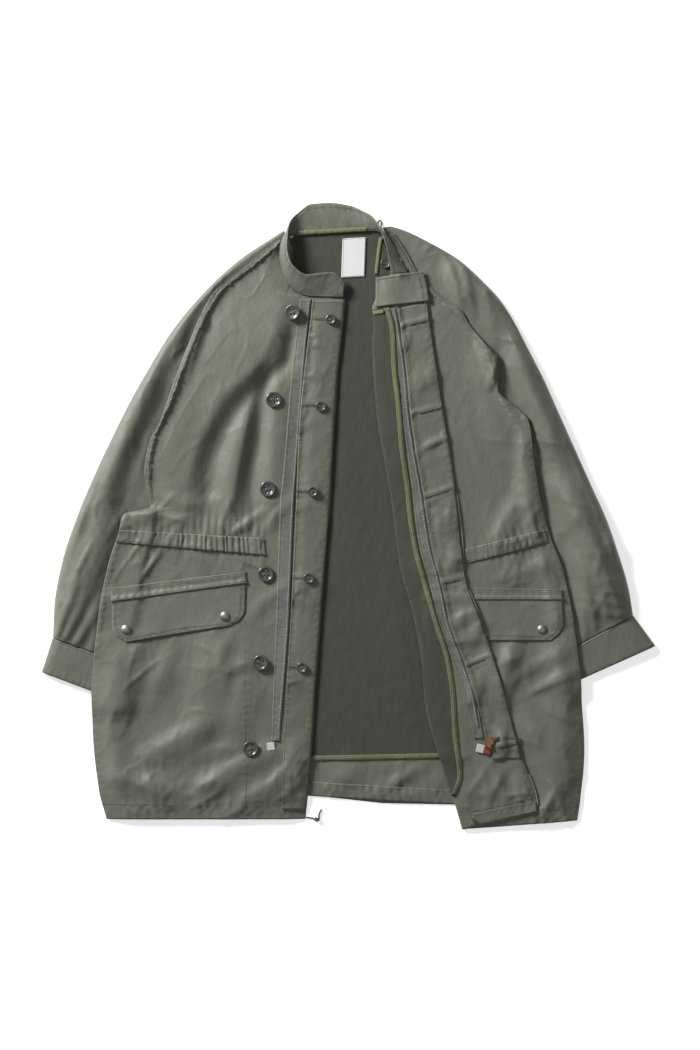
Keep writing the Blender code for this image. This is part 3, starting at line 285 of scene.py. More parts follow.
FACING_LEFT = table(
    OUTLINE,
    (150, -407, 152, -396),
    (138, -372, 158, -372),
    (127, -339, 154, -339),
    (109, -267, 148, -267),
    (103, -200, 139, -200),
    (91, -137, 120, -137),
    (75, -80, 103, -80),
    (68, -35, 92, -35),
    (61, 22, 85, 22),
    (51, 80, 77, 80),
    (42, 130, 72, 130),
    (36, 190, 66, 190),
    (34, 225, 62, 225),
    (33, 277, 58, 277),
    (33, 299, 50, 299),
)
FACING_BINDING = table(
    OUTLINE,
    (147, -402, 153, -402),
    (156, -375, 163, -375),
    (149, -316, 156, -316),
    (146, -260, 153, -260),
    (139, -212, 146, -212),
    (121, -154, 128, -154),
    (104, -94, 111, -94),
    (92, -49, 99, -49),
    (84, 0, 91, 0),
    (80, 42, 87, 42),
    (72, 99, 79, 99),
    (67, 157, 74, 157),
    (61, 213, 68, 213),
    (58, 271, 65, 271),
    (50, 300, 57, 302),
)
BINDING_TOP = table(OUTLINE, (35, 291, 49, 293), (34, 296, 49, 298))
ZIP_TAPE_LEFT = table(
    OUTLINE,
    (180, -322, 194, -322),
    (166, -257, 183, -257),
    (150, -212, 168, -212),
    (130, -154, 147, -154),
    (115, -94, 134, -94),
    (101, -45, 121, -45),
    (90, 42, 107, 42),
    (83, 99, 97, 99),
    (74, 157, 89, 157),
    (69, 186, 87, 186),
    (64, 271, 76, 271),
    (56, 302, 70, 304),
)
FLY_LEFT = table(
    OUTLINE,
    (206, -352, 247, -350),
    (182, -260, 225, -263),
    (166, -210, 209, -210),
    (146, -154, 190, -154),
    (132, -94, 168, -94),
    (119, -45, 161, -45),
    (105, 42, 152, 42),
    (95, 99, 144, 99),
    (87, 157, 134, 157),
    (85, 186, 130, 186),
    (74, 271, 117, 271),
    (70, 300, 112, 310),
)
STRIP_HEM_FOLD = table(OUTLINE, (172, -450, 270, -427), (180, -430, 269, -412))
COLLAR = table(
    "base_x base_y base_z rim_x rim_y rim_z",
    (-9, 317, 8, -7, 338, 11),
    (-34, 317, 8, -26, 352, 16),
    (-56, 318, 9, -47, 350, 20),
    (-71, 322, 9, -62, 348, 22),
    (-85, 334, 10, -76, 356, 24),
    (-95, 352, 11, -85, 368, 25),
    (-100, 375, 11, -89, 388, 25),
    (-99, 393, 10, -88, 407, 23),
    (-92, 404, 7, -85, 424, 16),
    (-80, 406, 4, -74, 439, 8),
    (-60, 407, 3.2, -56, 452, 4),
    (-30, 409, 3.2, -28, 454, 3),
    (0, 411, 3.2, 0, 450, 3),
    (20, 412, 3.4, 17, 443, 6),
    (36, 413, 5, 30, 434, 14),
    (48, 410, 8, 39, 421, 21),
    (58, 398, 9, 47, 406, 23),
    (67, 384, 10, 53, 386, 22),
    (76, 367, 9, 57, 367, 17),
    (84, 351, 9, 61, 351, 11),
)
COLLAR_END = table(OUTLINE, (37, 302, 115, 311), (38, 322, 112, 331), (38, 345, 106, 354))
NECK_BINDING_LEFT = table(OUTLINE, (36, 350, 41, 350), (39, 378, 44, 378), (43, 404, 48, 404))

# ------------------------------------------------------------------ folds

# Each fold runs through the photograph's pixels x, y. Its half width and height are in millimetres, and lean
# makes the side on its left as one follows it wider, and the other steeper. Below nought it is a trough.
FOLD = "fold x y width height lean"
FRONT_RIGHT_FOLDS = table(
    FOLD,
    (1, 284, 300, 24, 2, -0.3),
    (1, 276, 322, 36, 6, -0.55),
    (1, 264, 352, 44, 9, -0.62),
    (1, 245, 374, 50, 10, -0.66),
    (1, 224, 392, 54, 10.5, -0.68),
    (1, 207, 420, 54, 10.5, -0.68),
    (1, 196, 445, 48, 9.5, -0.66),
    (1, 188, 475, 40, 8, -0.6),
    (1, 184, 512, 30, 4, -0.4),
    (2, 256, 382, 12, 1.5, -0.3),
    (2, 250, 402, 18, 6, -0.5),
    (2, 242, 440, 20, 8.5, -0.5),
    (2, 234, 480, 20, 8, -0.5),
    (2, 228, 522, 14, 3, -0.3),
    (3, 281, 355, 9, 1, 0),
    (3, 278, 372, 13, 3, 0.2),
    (3, 275, 430, 14, 4, 0.2),
    (3, 272, 480, 14, 3.5, 0.2),
    (3, 270, 523, 10, 1, 0),
    (24, 293, 330, 7, -2, 0),
    (24, 286, 362, 9, -4, 0),
    (24, 267, 379, 11, -4.6, 0),
    (24, 248, 397, 12, -4.6, 0),
    (24, 229, 425, 12, -4.6, 0),
    (24, 216, 456, 14, -5, 0),
    (24, 212, 485, 14, -5, 0),
    (24, 209, 512, 10, -1, 0),
    (25, 265, 392, 8, -2, 0),
    (25, 259, 430, 11, -3, 0),
    (25, 251, 480, 11, -3, 0),
    (25, 254, 522, 8, -2, 0),
    (4, 185, 335, 18, 2, 0),
    (4, 177, 352, 24, 4, 0),
    (4, 169, 410, 26, 4, 0),
    (4, 160, 455, 20, 2, 0),
    (5, 214, 645, 18, 3, 0),
    (5, 208, 672, 22, 5, 0.2),
    (5, 203, 712, 22, 5, 0.2),
    (5, 196, 745, 16, 2, 0),
    (6, 172, 652, 10, 2, 0),
    (6, 162, 674, 13, 4, 0.2),
    (6, 152, 700, 12, 2, 0),
    (7, 248, 670, 14, 2, 0),
    (7, 243, 700, 17, 4, 0.2),
    (7, 235, 738, 16, 3, 0),
    (8, 272, 750, 12, 3, 0.2),
    (8, 238, 766, 15, 6, 0.3),
    (8, 205, 784, 14, 4, 0.2),
    (9, 214, 720, 14, 2, 0),
    (9, 180, 738, 17, 6, 0.3),
    (9, 148, 756, 15, 4, 0.2),
    (10, 180, 790, 13, 3, 0.2),
    (10, 148, 783, 14, 5, 0.2),
    (10, 118, 777, 12, 3, 0),
    (11, 116, 660, 12, 2, 0),
    (11, 114, 705, 17, 5, 0.2),
    (11, 117, 760, 17, 5, 0.2),
    (11, 120, 790, 10, 2, 0),
    (12, 292, 774, 12, 3, 0.2),
    (12, 262, 790, 13, 5, 0.2),
    (12, 236, 808, 10, 2, 0),
    (13, 199, 325, 3.5, -2, 0),
    (13, 190, 345, 4, -4, 0),
    (13, 181, 368, 3.5, -2, 0),
    (14, 205, 318, 6, 2, -0.2),
    (14, 196, 346, 7, 3.5, -0.2),
    (14, 187, 378, 6, 1, 0),
    (15, 160, 520, 7, 1, 0),
    (15, 146, 514, 9, 4, 0.4),
    (15, 128, 517, 8, 3, 0.4),
    (16, 262, 512, 5, 1, 0),
    (16, 245, 524, 6, 3, 0.3),
    (16, 232, 532, 4, 1, 0),
    (17, 291, 500, 5, 1, 0),
    (17, 272, 520, 6, 2, 0.3),
    (17, 268, 535, 4, 0.5, 0),
    (18, 160, 497, 8, 1, 0),
    (18, 190, 505, 9, 2, 0),
    (18, 214, 500, 7, 1, 0),
    (19, 283, 590, 6, 0.5, 0),
    (19, 262, 604, 8, 1.8, 0),
    (19, 250, 622, 6, 0.5, 0),
    (20, 140, 648, 8, 0.6, 0),
    (20, 146, 668, 11, 2.4, 0.2),
    (20, 140, 695, 8, 0.6, 0),
    (21, 232, 635, 7, 0.6, 0),
    (21, 222, 652, 9, 2.4, 0.2),
    (21, 224, 690, 7, 0.6, 0),
    (22, 250, 752, 7, 0.6, 0),
    (22, 222, 748, 9, 2.2, 0.3),
    (22, 195, 760, 7, 0.6, 0),
    (23, 304, 740, 6, 0.5, 0),
    (23, 290, 756, 8, 2, 0.2),
    (23, 284, 772, 6, 0.5, 0),
)
FRONT_LEFT_FOLDS = table(
    FOLD,
    (1, 515, 640, 9, 2, 0),
    (1, 510, 655, 12, 6, 0.2),
    (1, 505, 682, 12, 6, 0.2),
    (1, 503, 704, 9, 2, 0),
    (2, 489, 645, 7, 3, 0),
    (2, 494, 660, 9, 4, 0),
    (2, 500, 680, 7, 1, 0),
    (3, 523, 425, 11, 2, 0),
    (3, 526, 450, 15, 5, 0.2),
    (3, 530, 500, 15, 5, 0.2),
    (3, 530, 530, 10, 1.5, 0),
    (4, 478, 350, 14, 2, 0),
    (4, 487, 385, 21, 5, 0.2),
    (4, 500, 425, 20, 4, 0.2),
    (4, 508, 455, 14, 1.5, 0),
    (5, 553, 655, 14, 2, 0),
    (5, 558, 690, 19, 5, 0),
    (5, 564, 735, 19, 5, 0),
    (5, 566, 775, 14, 2, 0),
    (6, 524, 700, 12, 2, 0),
    (6, 538, 735, 18, 5, 0.2),
    (6, 552, 772, 16, 5, 0.2),
    (6, 560, 800, 12, 2, 0),
    (7, 516, 495, 8, 1, 0),
    (7, 510, 512, 12, 4, 0.2),
    (7, 498, 536, 11, 3, 0.2),
    (8, 478, 318, 6, 1.5, 0),
    (8, 484, 345, 9, 4.5, 0.2),
    (8, 492, 382, 8, 2, 0),
    (9, 497, 355, 3.5, 1, 0),
    (9, 493, 372, 4, 3, 0),
    (9, 488, 390, 3.5, 1, 0),
    (10, 541, 560, 7, 1, 0),
    (10, 524, 572, 9, 2.6, 0.2),
    (10, 494, 580, 7, 1, 0),
    (11, 560, 655, 6, 1, 0),
    (11, 536, 662, 8, 2.4, 0.3),
    (11, 518, 676, 6, 1, 0),
    (12, 578, 668, 6, 1, 0),
    (12, 556, 676, 7, 2.4, 0.3),
    (12, 534, 690, 5, 1, 0),
    (13, 536, 700, 5, 0.8, 0),
    (13, 552, 712, 7, 2.2, 0.3),
    (13, 574, 722, 5, 0.8, 0),
    (14, 560, 790, 6, 0.8, 0),
    (14, 548, 802, 8, 2.4, 0.2),
    (14, 540, 815, 5, 0.8, 0),
)
STRIP_FOLDS = table(
    FOLD,
    (1, 445, 520, 4, 0.6, 0),
    (1, 452, 541, 6, 1.6, 0),
    (1, 460, 560, 4, 0.6, 0),
    (2, 436, 540, 4, 0.6, 0),
    (2, 444, 560, 6, 1.8, 0.2),
    (2, 455, 575, 4, 0.6, 0),
    (3, 455, 628, 5, 0.6, 0),
    (3, 470, 616, 7, 1.8, 0.2),
    (3, 480, 600, 4, 0.6, 0),
    (4, 498, 716, 3, 0.8, 0),
    (4, 503, 722, 4, 2.2, 0),
    (4, 510, 729, 3, 0.8, 0),
    (5, 496, 728, 3, 0.6, 0),
    (5, 506, 740, 4, 1.4, 0),
    (5, 517, 747, 3, 0.6, 0),
    (6, 488, 760, 5, 0.8, 0),
    (6, 497, 777, 7, 1.8, 0.2),
    (6, 508, 798, 5, 0.8, 0),
    (7, 519, 760, 4, 0.8, 0),
    (7, 521, 780, 6, 1.8, 0.2),
    (7, 529, 798, 4, 0.8, 0),
    (8, 412, 545, 5, 0.6, 0),
    (8, 418, 560, 6, 1.4, 0),
    (8, 421, 580, 5, 0.6, 0),
)
SLEEVE_RIGHT_FOLDS = table(
    FOLD,
    (1, 158, 370, 9, 1, 0),
    (1, 151, 388, 13, 5, 0.2),
    (1, 142, 412, 14, 5, 0.2),
    (1, 134, 436, 11, 2, 0),
    (2, 132, 430, 9, 2, 0),
    (2, 124, 452, 13, 6, 0.2),
    (2, 112, 482, 14, 6, 0.2),
    (2, 105, 505, 11, 2, 0),
    (3, 109, 505, 11, 2, 0),
    (3, 104, 530, 15, 5, 0.2),
    (3, 96, 565, 15, 5, 0.2),
    (3, 91, 590, 11, 2, 0),
    (4, 60, 632, 5, 4, 0.1),
    (4, 67, 612, 7, 6, 0.1),
    (4, 78, 585, 9, 3, 0),
    (5, 68, 636, 5, 4, 0.1),
    (5, 79, 614, 7, 6, 0.1),
    (5, 90, 590, 8, 2, 0),
    (6, 79, 641, 5, 4, 0.1),
    (6, 91, 620, 7, 5, 0.1),
    (6, 101, 600, 7, 2, 0),
    (7, 175, 356, 6, 1, 0),
    (7, 182, 340, 8, 4, 0.2),
    (7, 189, 322, 6, 1, 0),
    (8, 150, 445, 9, 1, 0),
    (8, 140, 470, 12, 3.5, 0.2),
    (8, 134, 500, 9, 1.5, 0),
    (9, 85, 545, 9, 1, 0),
    (9, 77, 575, 11, 3, 0.2),
    (9, 70, 605, 8, 1, 0),
    (10, 92, 650, 4, 2, 0),
    (10, 96, 632, 5, 3, 0),
    (10, 98, 612, 5, 1, 0),
)
SLEEVE_LEFT_FOLDS = table(
    FOLD,
    (1, 456, 244, 7, 1, 0),
    (1, 464, 262, 10, 6, -0.3),
    (1, 468, 296, 10, 6, -0.3),
    (1, 473, 322, 6, 1, 0),
    (2, 444, 258, 6, 1, 0),
    (2, 452, 276, 8, 5, -0.3),
    (2, 459, 302, 7, 4, -0.2),
    (2, 464, 318, 4, 1, 0),
    (3, 478, 262, 9, 1, 0),
    (3, 484, 286, 13, 4, -0.2),
    (3, 489, 316, 11, 3, 0),
    (3, 494, 340, 6, 1, 0),
    (4, 512, 345, 12, 2, 0),
    (4, 524, 380, 18, 8, -0.3),
    (4, 545, 430, 18, 10, -0.3),
    (4, 556, 462, 14, 2, 0),
    (5, 553, 470, 12, 2, 0),
    (5, 566, 500, 16, 10, 0.3),
    (5, 584, 545, 15, 12, 0.3),
    (5, 597, 582, 12, 10, 0.2),
    (5, 606, 612, 7, 4, 0),
    (6, 572, 548, 7, 2, 0),
    (6, 581, 578, 8, 9, 0.2),
    (6, 589, 604, 7, 9, 0),
    (6, 594, 626, 5, 4, 0),
    (7, 602, 568, 7, 2, 0),
    (7, 612, 592, 8, 5, 0.2),
    (7, 619, 612, 6, 4, 0),
    (8, 580, 590, 5, 2, 0),
    (8, 583, 612, 6, 5, 0),
    (8, 585, 634, 4, 3, 0),
    (9, 604, 530, 7, 1, 0),
    (9, 613, 543, 10, 6, 0.2),
    (9, 626, 562, 7, 1, 0),
    (10, 498, 352, 6, -1, 0),
    (10, 515, 396, 8, -3, 0),
    (10, 533, 436, 8, -3, 0),
    (10, 548, 474, 7, -1, 0),
)
LINING_FOLDS = table(
    FOLD,
    (1, 345, 300, 20, 0.6, 0),
    (1, 340, 420, 26, 1.2, 0),
    (1, 352, 560, 24, 0.6, 0),
    (2, 385, 560, 12, 0.4, 0),
    (2, 400, 640, 16, 1.0, 0),
    (2, 412, 720, 12, 0.4, 0),
)
BACK_FOLDS = table(
    FOLD,
    (1, 392, 784, 5, 0.6, 0),
    (1, 404, 780, 7, 2.2, 0.3),
    (1, 420, 770, 6, 1.6, 0.2),
    (1, 432, 762, 4, 0.5, 0),
    (2, 330, 770, 6, 0.4, 0),
    (2, 345, 776, 8, 1.2, 0),
    (2, 362, 772, 6, 0.4, 0),
)
COLLAR_END_FOLDS = table(
    FOLD,
    (1, 377, 284, 4, 0.5, 0),
    (1, 388, 289, 5, 1.8, 0),
    (1, 400, 293, 4, 0.5, 0),
    (2, 377, 292, 4, 0.5, 0),
    (2, 386, 297, 4, 1.4, 0),
    (2, 398, 300, 3, 0.4, 0),
)

# Crumpled patches, centred on the photograph's pixels. Radius, height and the creases' size are in
# millimetres, and turn is how far the creases lean from the jacket's length, in degrees.
PATCH = "x y radius height size turn"
FRONT_RIGHT_PATCHES = table(
    PATCH,
    (150, 560, 32, 2.8, 15, -35),
    (200, 560, 34, 3.0, 14, 40),
    (245, 560, 26, 2.8, 11, 15),
    (235, 518, 26, 2.2, 13, -20),
    (170, 515, 34, 1.8, 18, 70),
    (126, 526, 16, 2.4, 12, 60),
    (130, 662, 36, 2.2, 18, -50),
    (230, 650, 42, 2.8, 17, 25),
    (290, 600, 24, 1.8, 12, 10),
    (150, 790, 36, 3.0, 12, 5),
    (220, 790, 42, 2.2, 15, -60),
    (290, 780, 30, 2.0, 13, -50),
    (112, 600, 14, 2.2, 12, 10),
    (115, 720, 26, 2.2, 15, -20),
    (270, 700, 28, 1.8, 16, 15),
    (180, 712, 50, 1.4, 22, 30),
    (300, 380, 30, 1.4, 16, 20),
    (160, 400, 30, 1.2, 20, -30),
    (290, 330, 24, 1.2, 14, 30),
    (150, 620, 40, 1.2, 18, -70),
)
FRONT_LEFT_PATCHES = table(
    PATCH,
    (515, 560, 40, 2.4, 15, -65),
    (520, 520, 34, 1.4, 18, -40),
    (555, 560, 22, 2.0, 13, 20),
    (515, 665, 30, 2.6, 14, 10),
    (555, 690, 40, 2.2, 17, -60),
    (565, 770, 34, 2.0, 16, -10),
    (550, 806, 34, 2.6, 12, 10),
    (530, 740, 30, 1.6, 18, 30),
    (485, 350, 26, 1.4, 16, 35),
    (560, 620, 20, 1.8, 12, 0),
    (500, 445, 40, 1.0, 22, 20),
)
PLACKET_PATCHES = table(
    PATCH,
    (314, 335, 22, 1.8, 9, 60),
    (306, 420, 22, 2.2, 9, -55),
    (300, 500, 24, 2.2, 9, 50),
    (297, 590, 22, 2.0, 9, -60),
    (291, 680, 22, 2.0, 9, 50),
    (318, 380, 18, 1.4, 9, 20),
    (290, 770, 26, 1.8, 11, -30),
)
STRIP_PATCHES = table(
    PATCH,
    (410, 340, 18, 1.6, 9, -55),
    (422, 385, 22, 1.6, 10, -50),
    (430, 440, 22, 2.2, 10, -60),
    (440, 520, 26, 2.8, 10, -55),
    (452, 570, 24, 2.8, 10, -50),
    (470, 625, 22, 2.4, 11, -60),
    (480, 690, 24, 2.2, 11, -50),
    (505, 745, 22, 2.6, 10, -60),
    (490, 785, 28, 2.4, 14, -30),
    (520, 790, 22, 2.2, 10, 10),
)
SLEEVE_RIGHT_PATCHES = table(
    PATCH,
    (75, 600, 24, 3.0, 11, -30),
    (100, 520, 32, 2.6, 17, -30),
    (85, 560, 26, 2.4, 14, -25),
    (180, 350, 22, 1.8, 12, -35),
    (140, 450, 30, 2.0, 17, -30),
    (225, 280, 26, 1.6, 12, -45),
)
SLEEVE_LEFT_PATCHES = table(
    PATCH,
    (600, 600, 28, 3.2, 11, 25),
    (570, 520, 30, 3.0, 14, 30),
    (590, 560, 28, 3.2, 13, 25),
    (540, 440, 32, 2.4, 16, 30),
    (470, 290, 22, 2.6, 10, 10),
    (505, 350, 26, 2.0, 14, 25),
    (430, 245, 22, 1.6, 12, 60),
    (560, 610, 24, 2.4, 12, 30),
)
BACK_PATCHES = table(
    PATCH,
    (400, 778, 28, 3.0, 13, -65),
    (345, 776, 26, 2.0, 13, -70),
    (430, 780, 18, 2.2, 11, -50),
)

# Small ridges that fan out from a gathered or puckered seam, whose ends are pixels of the photograph
FAN = "x y end_x end_y pitch reach height"
FRONT_RIGHT_FANS = table(
    FAN,
    (180, 534, 266, 538, 10.0, 30, 3.4),
    (122, 537, 182, 539, 11.0, 20, 1.8),
    (118, 806, 180, 808, 14.0, 14, 3.2),
    (183, 808, 300, 812, 17.0, 12, 1.8),
    (120, 640, 240, 620, 15.0, 12, 0.6),
)
FRONT_LEFT_FANS = table(
    FAN,
    (480, 550, 547, 535, 10.5, 24, 2.4),
    (480, 815, 575, 818, 15.0, 12, 2.0),
    (487, 642, 560, 630, 12.0, 9, 0.5),
)
BACK_FANS = table(FAN, (318, 790, 450, 798, 13.0, 12, 2.0))
CASING_GATHERS = "start end count height"
CASING_RIGHT_GATHERS = table(CASING_GATHERS, (0.04, 0.38, 7, 0.9), (0.38, 0.98, 16, 1.5))
CASING_LEFT_GATHERS = table(CASING_GATHERS, (0.3, 0.97, 9, 1.0))
# Creases that run out of the fly's buttonholes, a slit across the fly from one pixel to another
FLY_HOLES = table(
    "x y end_x end_y height",
    (410, 326, 426, 322, 3.0),
    (420, 414, 440, 409, 2.4),
    (425, 499, 447, 491, 2.6),
    (442, 584, 459, 580, 2.0),
    (463, 668, 484, 659, 2.4),
    (497, 747, 514, 744, 2.2),
)
PLACKET_HOLES = table(
    "x y end_x end_y height",
    (315, 320, 328, 320, 0.8),
    (305, 406, 318, 406, 1.0),
    (297, 492, 310, 492, 1.4),
    (294, 578, 306, 578, 1.0),
    (288, 667, 299, 667, 0.8),
)

# ------------------------------------------------------------------ fastenings

BIG_BUTTONS = table(
    "x y tip",
    (-82, 294, -14),
    (-109.5, 168, 2),
    (-118, 39, -4),
    (-121, -84, 3),
    (-128.5, -212, -6),
    (-143, -336, 3),
)
SMALL_BUTTONS = table("x y tip", (-27, 284, -6), (-41.5, 158, 2), (-53, 35, -4), (-59, -90, 3), (-69, -219, -5))
SNAPS = table("x y", (-322.5, -164), (-180, -145), (278.5, -164))
COLLAR_BUTTON = (52, 366)
BUTTON_PROFILE = (
    (0, 0),
    (0.82, 0),
    (0.93, 0.1),
    (0.99, 0.34),
    (1, 0.6),
    (0.97, 0.85),
    (0.9, 0.98),
    (0.82, 1),
    (0.74, 0.9),
    (0.69, 0.68),
    (0.62, 0.58),
    (0.3, 0.52),
    (0, 0.5),
)
SNAP_PROFILE = (
    (0, 0),
    (0.9, 0),
    (0.98, 0.1),
    (1, 0.24),
    (0.95, 0.34),
    (0.86, 0.36),
    (0.82, 0.46),
    (0.74, 0.66),
    (0.56, 0.86),
    (0.3, 0.97),
    (0, 1),
)

# The stage, in metres: the camera hangs over the jacket, and each light has its watts, its size and its place
CAMERA_AT = (0.0022, -0.013, 3.0)
CAMERA_LENS = 70.9
CAMERA_SENSOR = 36
LIGHTS = (("key", 150, 0.8, (-2.0, 1.7, 1.35)), ("fill", 9, 2.4, (0.9, -0.6, 2.6)))
SKY_STRENGTH = 0.17
FLOOR_REACH = 14
FLOOR_HEIGHT = -0.0004

# Cords, in millimetres on the plan
HEM_CORD_IN = table("x y z", (-63, -437, 1.4), (-59, -437.4, 1.4), (-55, -438, 1.4), (-51.4, -438.9, 1.6))
HEM_CORD_KNOT = table("x y z", (-49, -441.2, 2.4), (-45.6, -441.6, 3.2), (-43.6, -439.2, 3.0), (-44.6, -436, 2.0))
HEM_CORD_TAIL = table("x y z", (-44.2, -433.4, 1.5), (-43.4, -430.4, 1.4), (-42.4, -428.2, 1.4), (-40.2, -425.4, 1.4))
HANGING_LOOP = table(
    "x y z",
    (41.0, 420.3, 1.3),
    (40.8, 424, 1.5),
    (41.8, 427.6, 1.7),
    (44, 429, 1.8),
    (46.2, 427.6, 1.7),
    (47, 424, 1.5),
    (46.4, 420.8, 1.3),
)
# The pull's loop: how far along and aside of its knot, with its height
PULL_CORD_RUN = table(
    "along aside z",
    (2.2, 1.2, 17.4),
    (6.4, 2.0, 13.4),
    (12, 2.0, 12.7),
    (18, 1.7, 12.5),
    (24, 1.9, 12.7),
    (30, 2.1, 13.1),
    (34, 2.0, 11.6),
    (36.2, 0.9, 10.5),
)
PULL_KNOT_AT = (212.13, -320.47, 17.43)
PULL_EYE_RUN = table("along z", (-1.9, 19.3), (-6.8, 19.3), (-8.6, 18.2), (-8.8, 16.6), (-6.8, 15.5), (-1.9, 15.5))
PULL_WAY = (1, -0.09)


# ------------------------------------------------------------------ shapes worked out from the tables


def smooth(knots, values, at):
    """A curve through the knots that never swings past their values."""
    step = np.diff(knots)
    slope = np.diff(values) / step
    product = slope[:-1] * slope[1:]
    total = np.where(product > 0, slope[:-1] + slope[1:], 1)
    inner = np.where(product > 0, 2 * product / total, 0)
    tangent = np.concatenate([slope[:1], inner, slope[-1:]])
    i = np.clip(np.searchsorted(knots, at, side="right") - 1, 0, len(step) - 1)
    t = (at - knots[i]) / step[i]
    blend = t * t * (3 - 2 * t)
    leave = step[i] * tangent[i] * t * (1 - t) ** 2
    arrive = step[i] * tangent[i + 1] * t * t * (t - 1)
    return values[i] * (1 - blend) + values[i + 1] * blend + leave + arrive


def stations(rows, first, second):
    """The mean distance along two edges at each row of a table, from 0 to 1."""
    steps = [np.hypot(np.diff(rows[e + "_x"]), np.diff(rows[e + "_y"])) for e in (first, second)]
    along = np.concatenate([[0], np.cumsum(steps[0] + steps[1])])
    return along / along[-1]


def resampled(rows, count, first="left", second="right"):
    """Every column of the table at evenly spaced stations."""
    knots = stations(rows, first, second)
    at = np.linspace(0, 1, count)
    return {name: smooth(knots, values, at) for name, values in rows.items()}


def across(count, crowding=0.25):
    """Shares from 0 to 1 that crowd a little towards both ends."""
    even = np.linspace(0, 1, count)
    return (1 - crowding) * even + crowding * (1 - np.cos(math.pi * even)) / 2


def plan_of(rows, down, over):
    """The plan of a sheet: points in rows from its first row to its last, from left to right."""
    at = resampled(rows, down)
    share = across(over)
    plan = np.empty((down, over, 2))
    for k, axis in enumerate("xy"):
        left, right = at["left_" + axis][:, None], at["right_" + axis][:, None]
        plan[..., k] = left + (right - left) * share
    return plan


def edge_swell(plan, height, reach):
    """A soft rise from the sheet's sides to its middle."""
    left = np.hypot(*(plan - plan[:, :1]).transpose(2, 0, 1))
    right = np.hypot(*(plan - plan[:, -1:]).transpose(2, 0, 1))
    near = np.clip(np.minimum(left, right) / reach, 0, 1)
    return height * (1 - (1 - near) ** 2)


def near_line(plan, line):
    """How far each point is from the line, how far along it the nearest place is, and on which side."""
    best = np.full(plan.shape[:-1], 1e9)
    along, side = np.zeros_like(best), np.zeros_like(best)
    steps = np.linalg.norm(np.diff(line, axis=0), axis=1)
    gone = np.concatenate([[0], np.cumsum(steps)])
    for start, end, length, before in zip(line, line[1:], steps, gone):
        run = end - start
        share = np.clip(((plan - start) @ run) / (run @ run), 0, 1)
        away = plan - start - share[..., None] * run
        distance = np.hypot(away[..., 0], away[..., 1])
        here = distance < best
        best = np.where(here, distance, best)
        along = np.where(here, before + share * length, along)
        side = np.where(here, np.sign(run[0] * away[..., 1] - run[1] * away[..., 0]), side)
    return best, along, side


def curve_through(points, per_step=6):
    """Points along a smooth line through these, with their distances along it."""
    points = np.asarray(points, float)
    knots = np.concatenate([[0], np.cumsum(np.linalg.norm(np.diff(points[:, :2], axis=0), axis=1))])
    at = np.linspace(0, knots[-1], per_step * (len(points) - 1) + 1)
    return np.stack([smooth(knots, points[:, k], at) for k in range(points.shape[1])], 1)


def folded(plan, rows):
    """The height of all the folds of a table at these points."""
    total = np.zeros(plan.shape[:-1])
    for number in np.unique(rows["fold"]):
        own = rows["fold"] == number
        x, y = on_plan(rows["x"][own], rows["y"][own])
        curve = curve_through(np.stack([x, y, rows["width"][own], rows["height"][own], rows["lean"][own]], 1))
        distance, along, side = near_line(plan, curve[:, :2])
        gone = np.concatenate([[0], np.cumsum(np.linalg.norm(np.diff(curve[:, :2], axis=0), axis=1))])
        width, height, lean = (np.interp(along, gone, curve[:, k]) for k in (2, 3, 4))
        total += 1.2 * height * np.exp(-((distance / (1.25 * width * (1 + lean * side))) ** 2))
    return total


def noise_over(plan, size, seed, stretch=1.0, turn=0.0):
    """Smooth noise from -1 to 1, with bumps of about this size, drawn out along one direction."""
    lattice = np.random.default_rng(seed).uniform(-1, 1, (97, 97))
    c, s = math.cos(math.radians(turn)), math.sin(math.radians(turn))
    u = (plan[..., 0] * c + plan[..., 1] * s) / size + 300
    v = (plan[..., 1] * c - plan[..., 0] * s) / (size * stretch) + 300
    i, j = np.floor(u).astype(int), np.floor(v).astype(int)
    fu, fv = u - i, v - j
    fu, fv = fu**3 * (fu * (fu * 6 - 15) + 10), fv**3 * (fv * (fv * 6 - 15) + 10)
    i, j, near_i, near_j = i % 97, j % 97, (i + 1) % 97, (j + 1) % 97
    low = lattice[i, j] * (1 - fu) + lattice[near_i, j] * fu
    high = lattice[i, near_j] * (1 - fu) + lattice[near_i, near_j] * fu
    return low * (1 - fv) + high * fv


def rumpled(plan, height, seed, turn=0.0):
    """The cloth's small unevenness: soft hollows, and a few faint creases between them."""
    broad = noise_over(plan, 46, seed, 1.7, turn)
    fine = noise_over(plan, 17, seed + 1, 2.2, turn + 25)
    crease = (1 - np.abs(noise_over(plan, 38, seed + 2, 1.5, turn - 30))) ** 9
    return height * (0.9 + 0.55 * broad + 0.3 * fine + 0.5 * crease)


def crumpled(plan, rows, seed):
    """The height of crumpled patches: sharp little creases with flat cloth between them."""
    total = np.zeros(plan.shape[:-1])
    for k, (x, y, radius, height, size, turn) in enumerate(zip(*rows.values())):
        x, y = on_plan(x, y)
        near = np.exp(-(np.hypot(plan[..., 0] - x, plan[..., 1] - y) ** 2 / radius**2))
        first = (1 - np.abs(noise_over(plan, 2.0 * size, seed + k, 2.6, turn))) ** 3
        second = (1 - np.abs(noise_over(plan, 1.5 * size, seed + 40 + k, 2.2, turn + 50))) ** 4
        total += 2.0 * height * near * (0.8 * first + 0.5 * second)
    return total


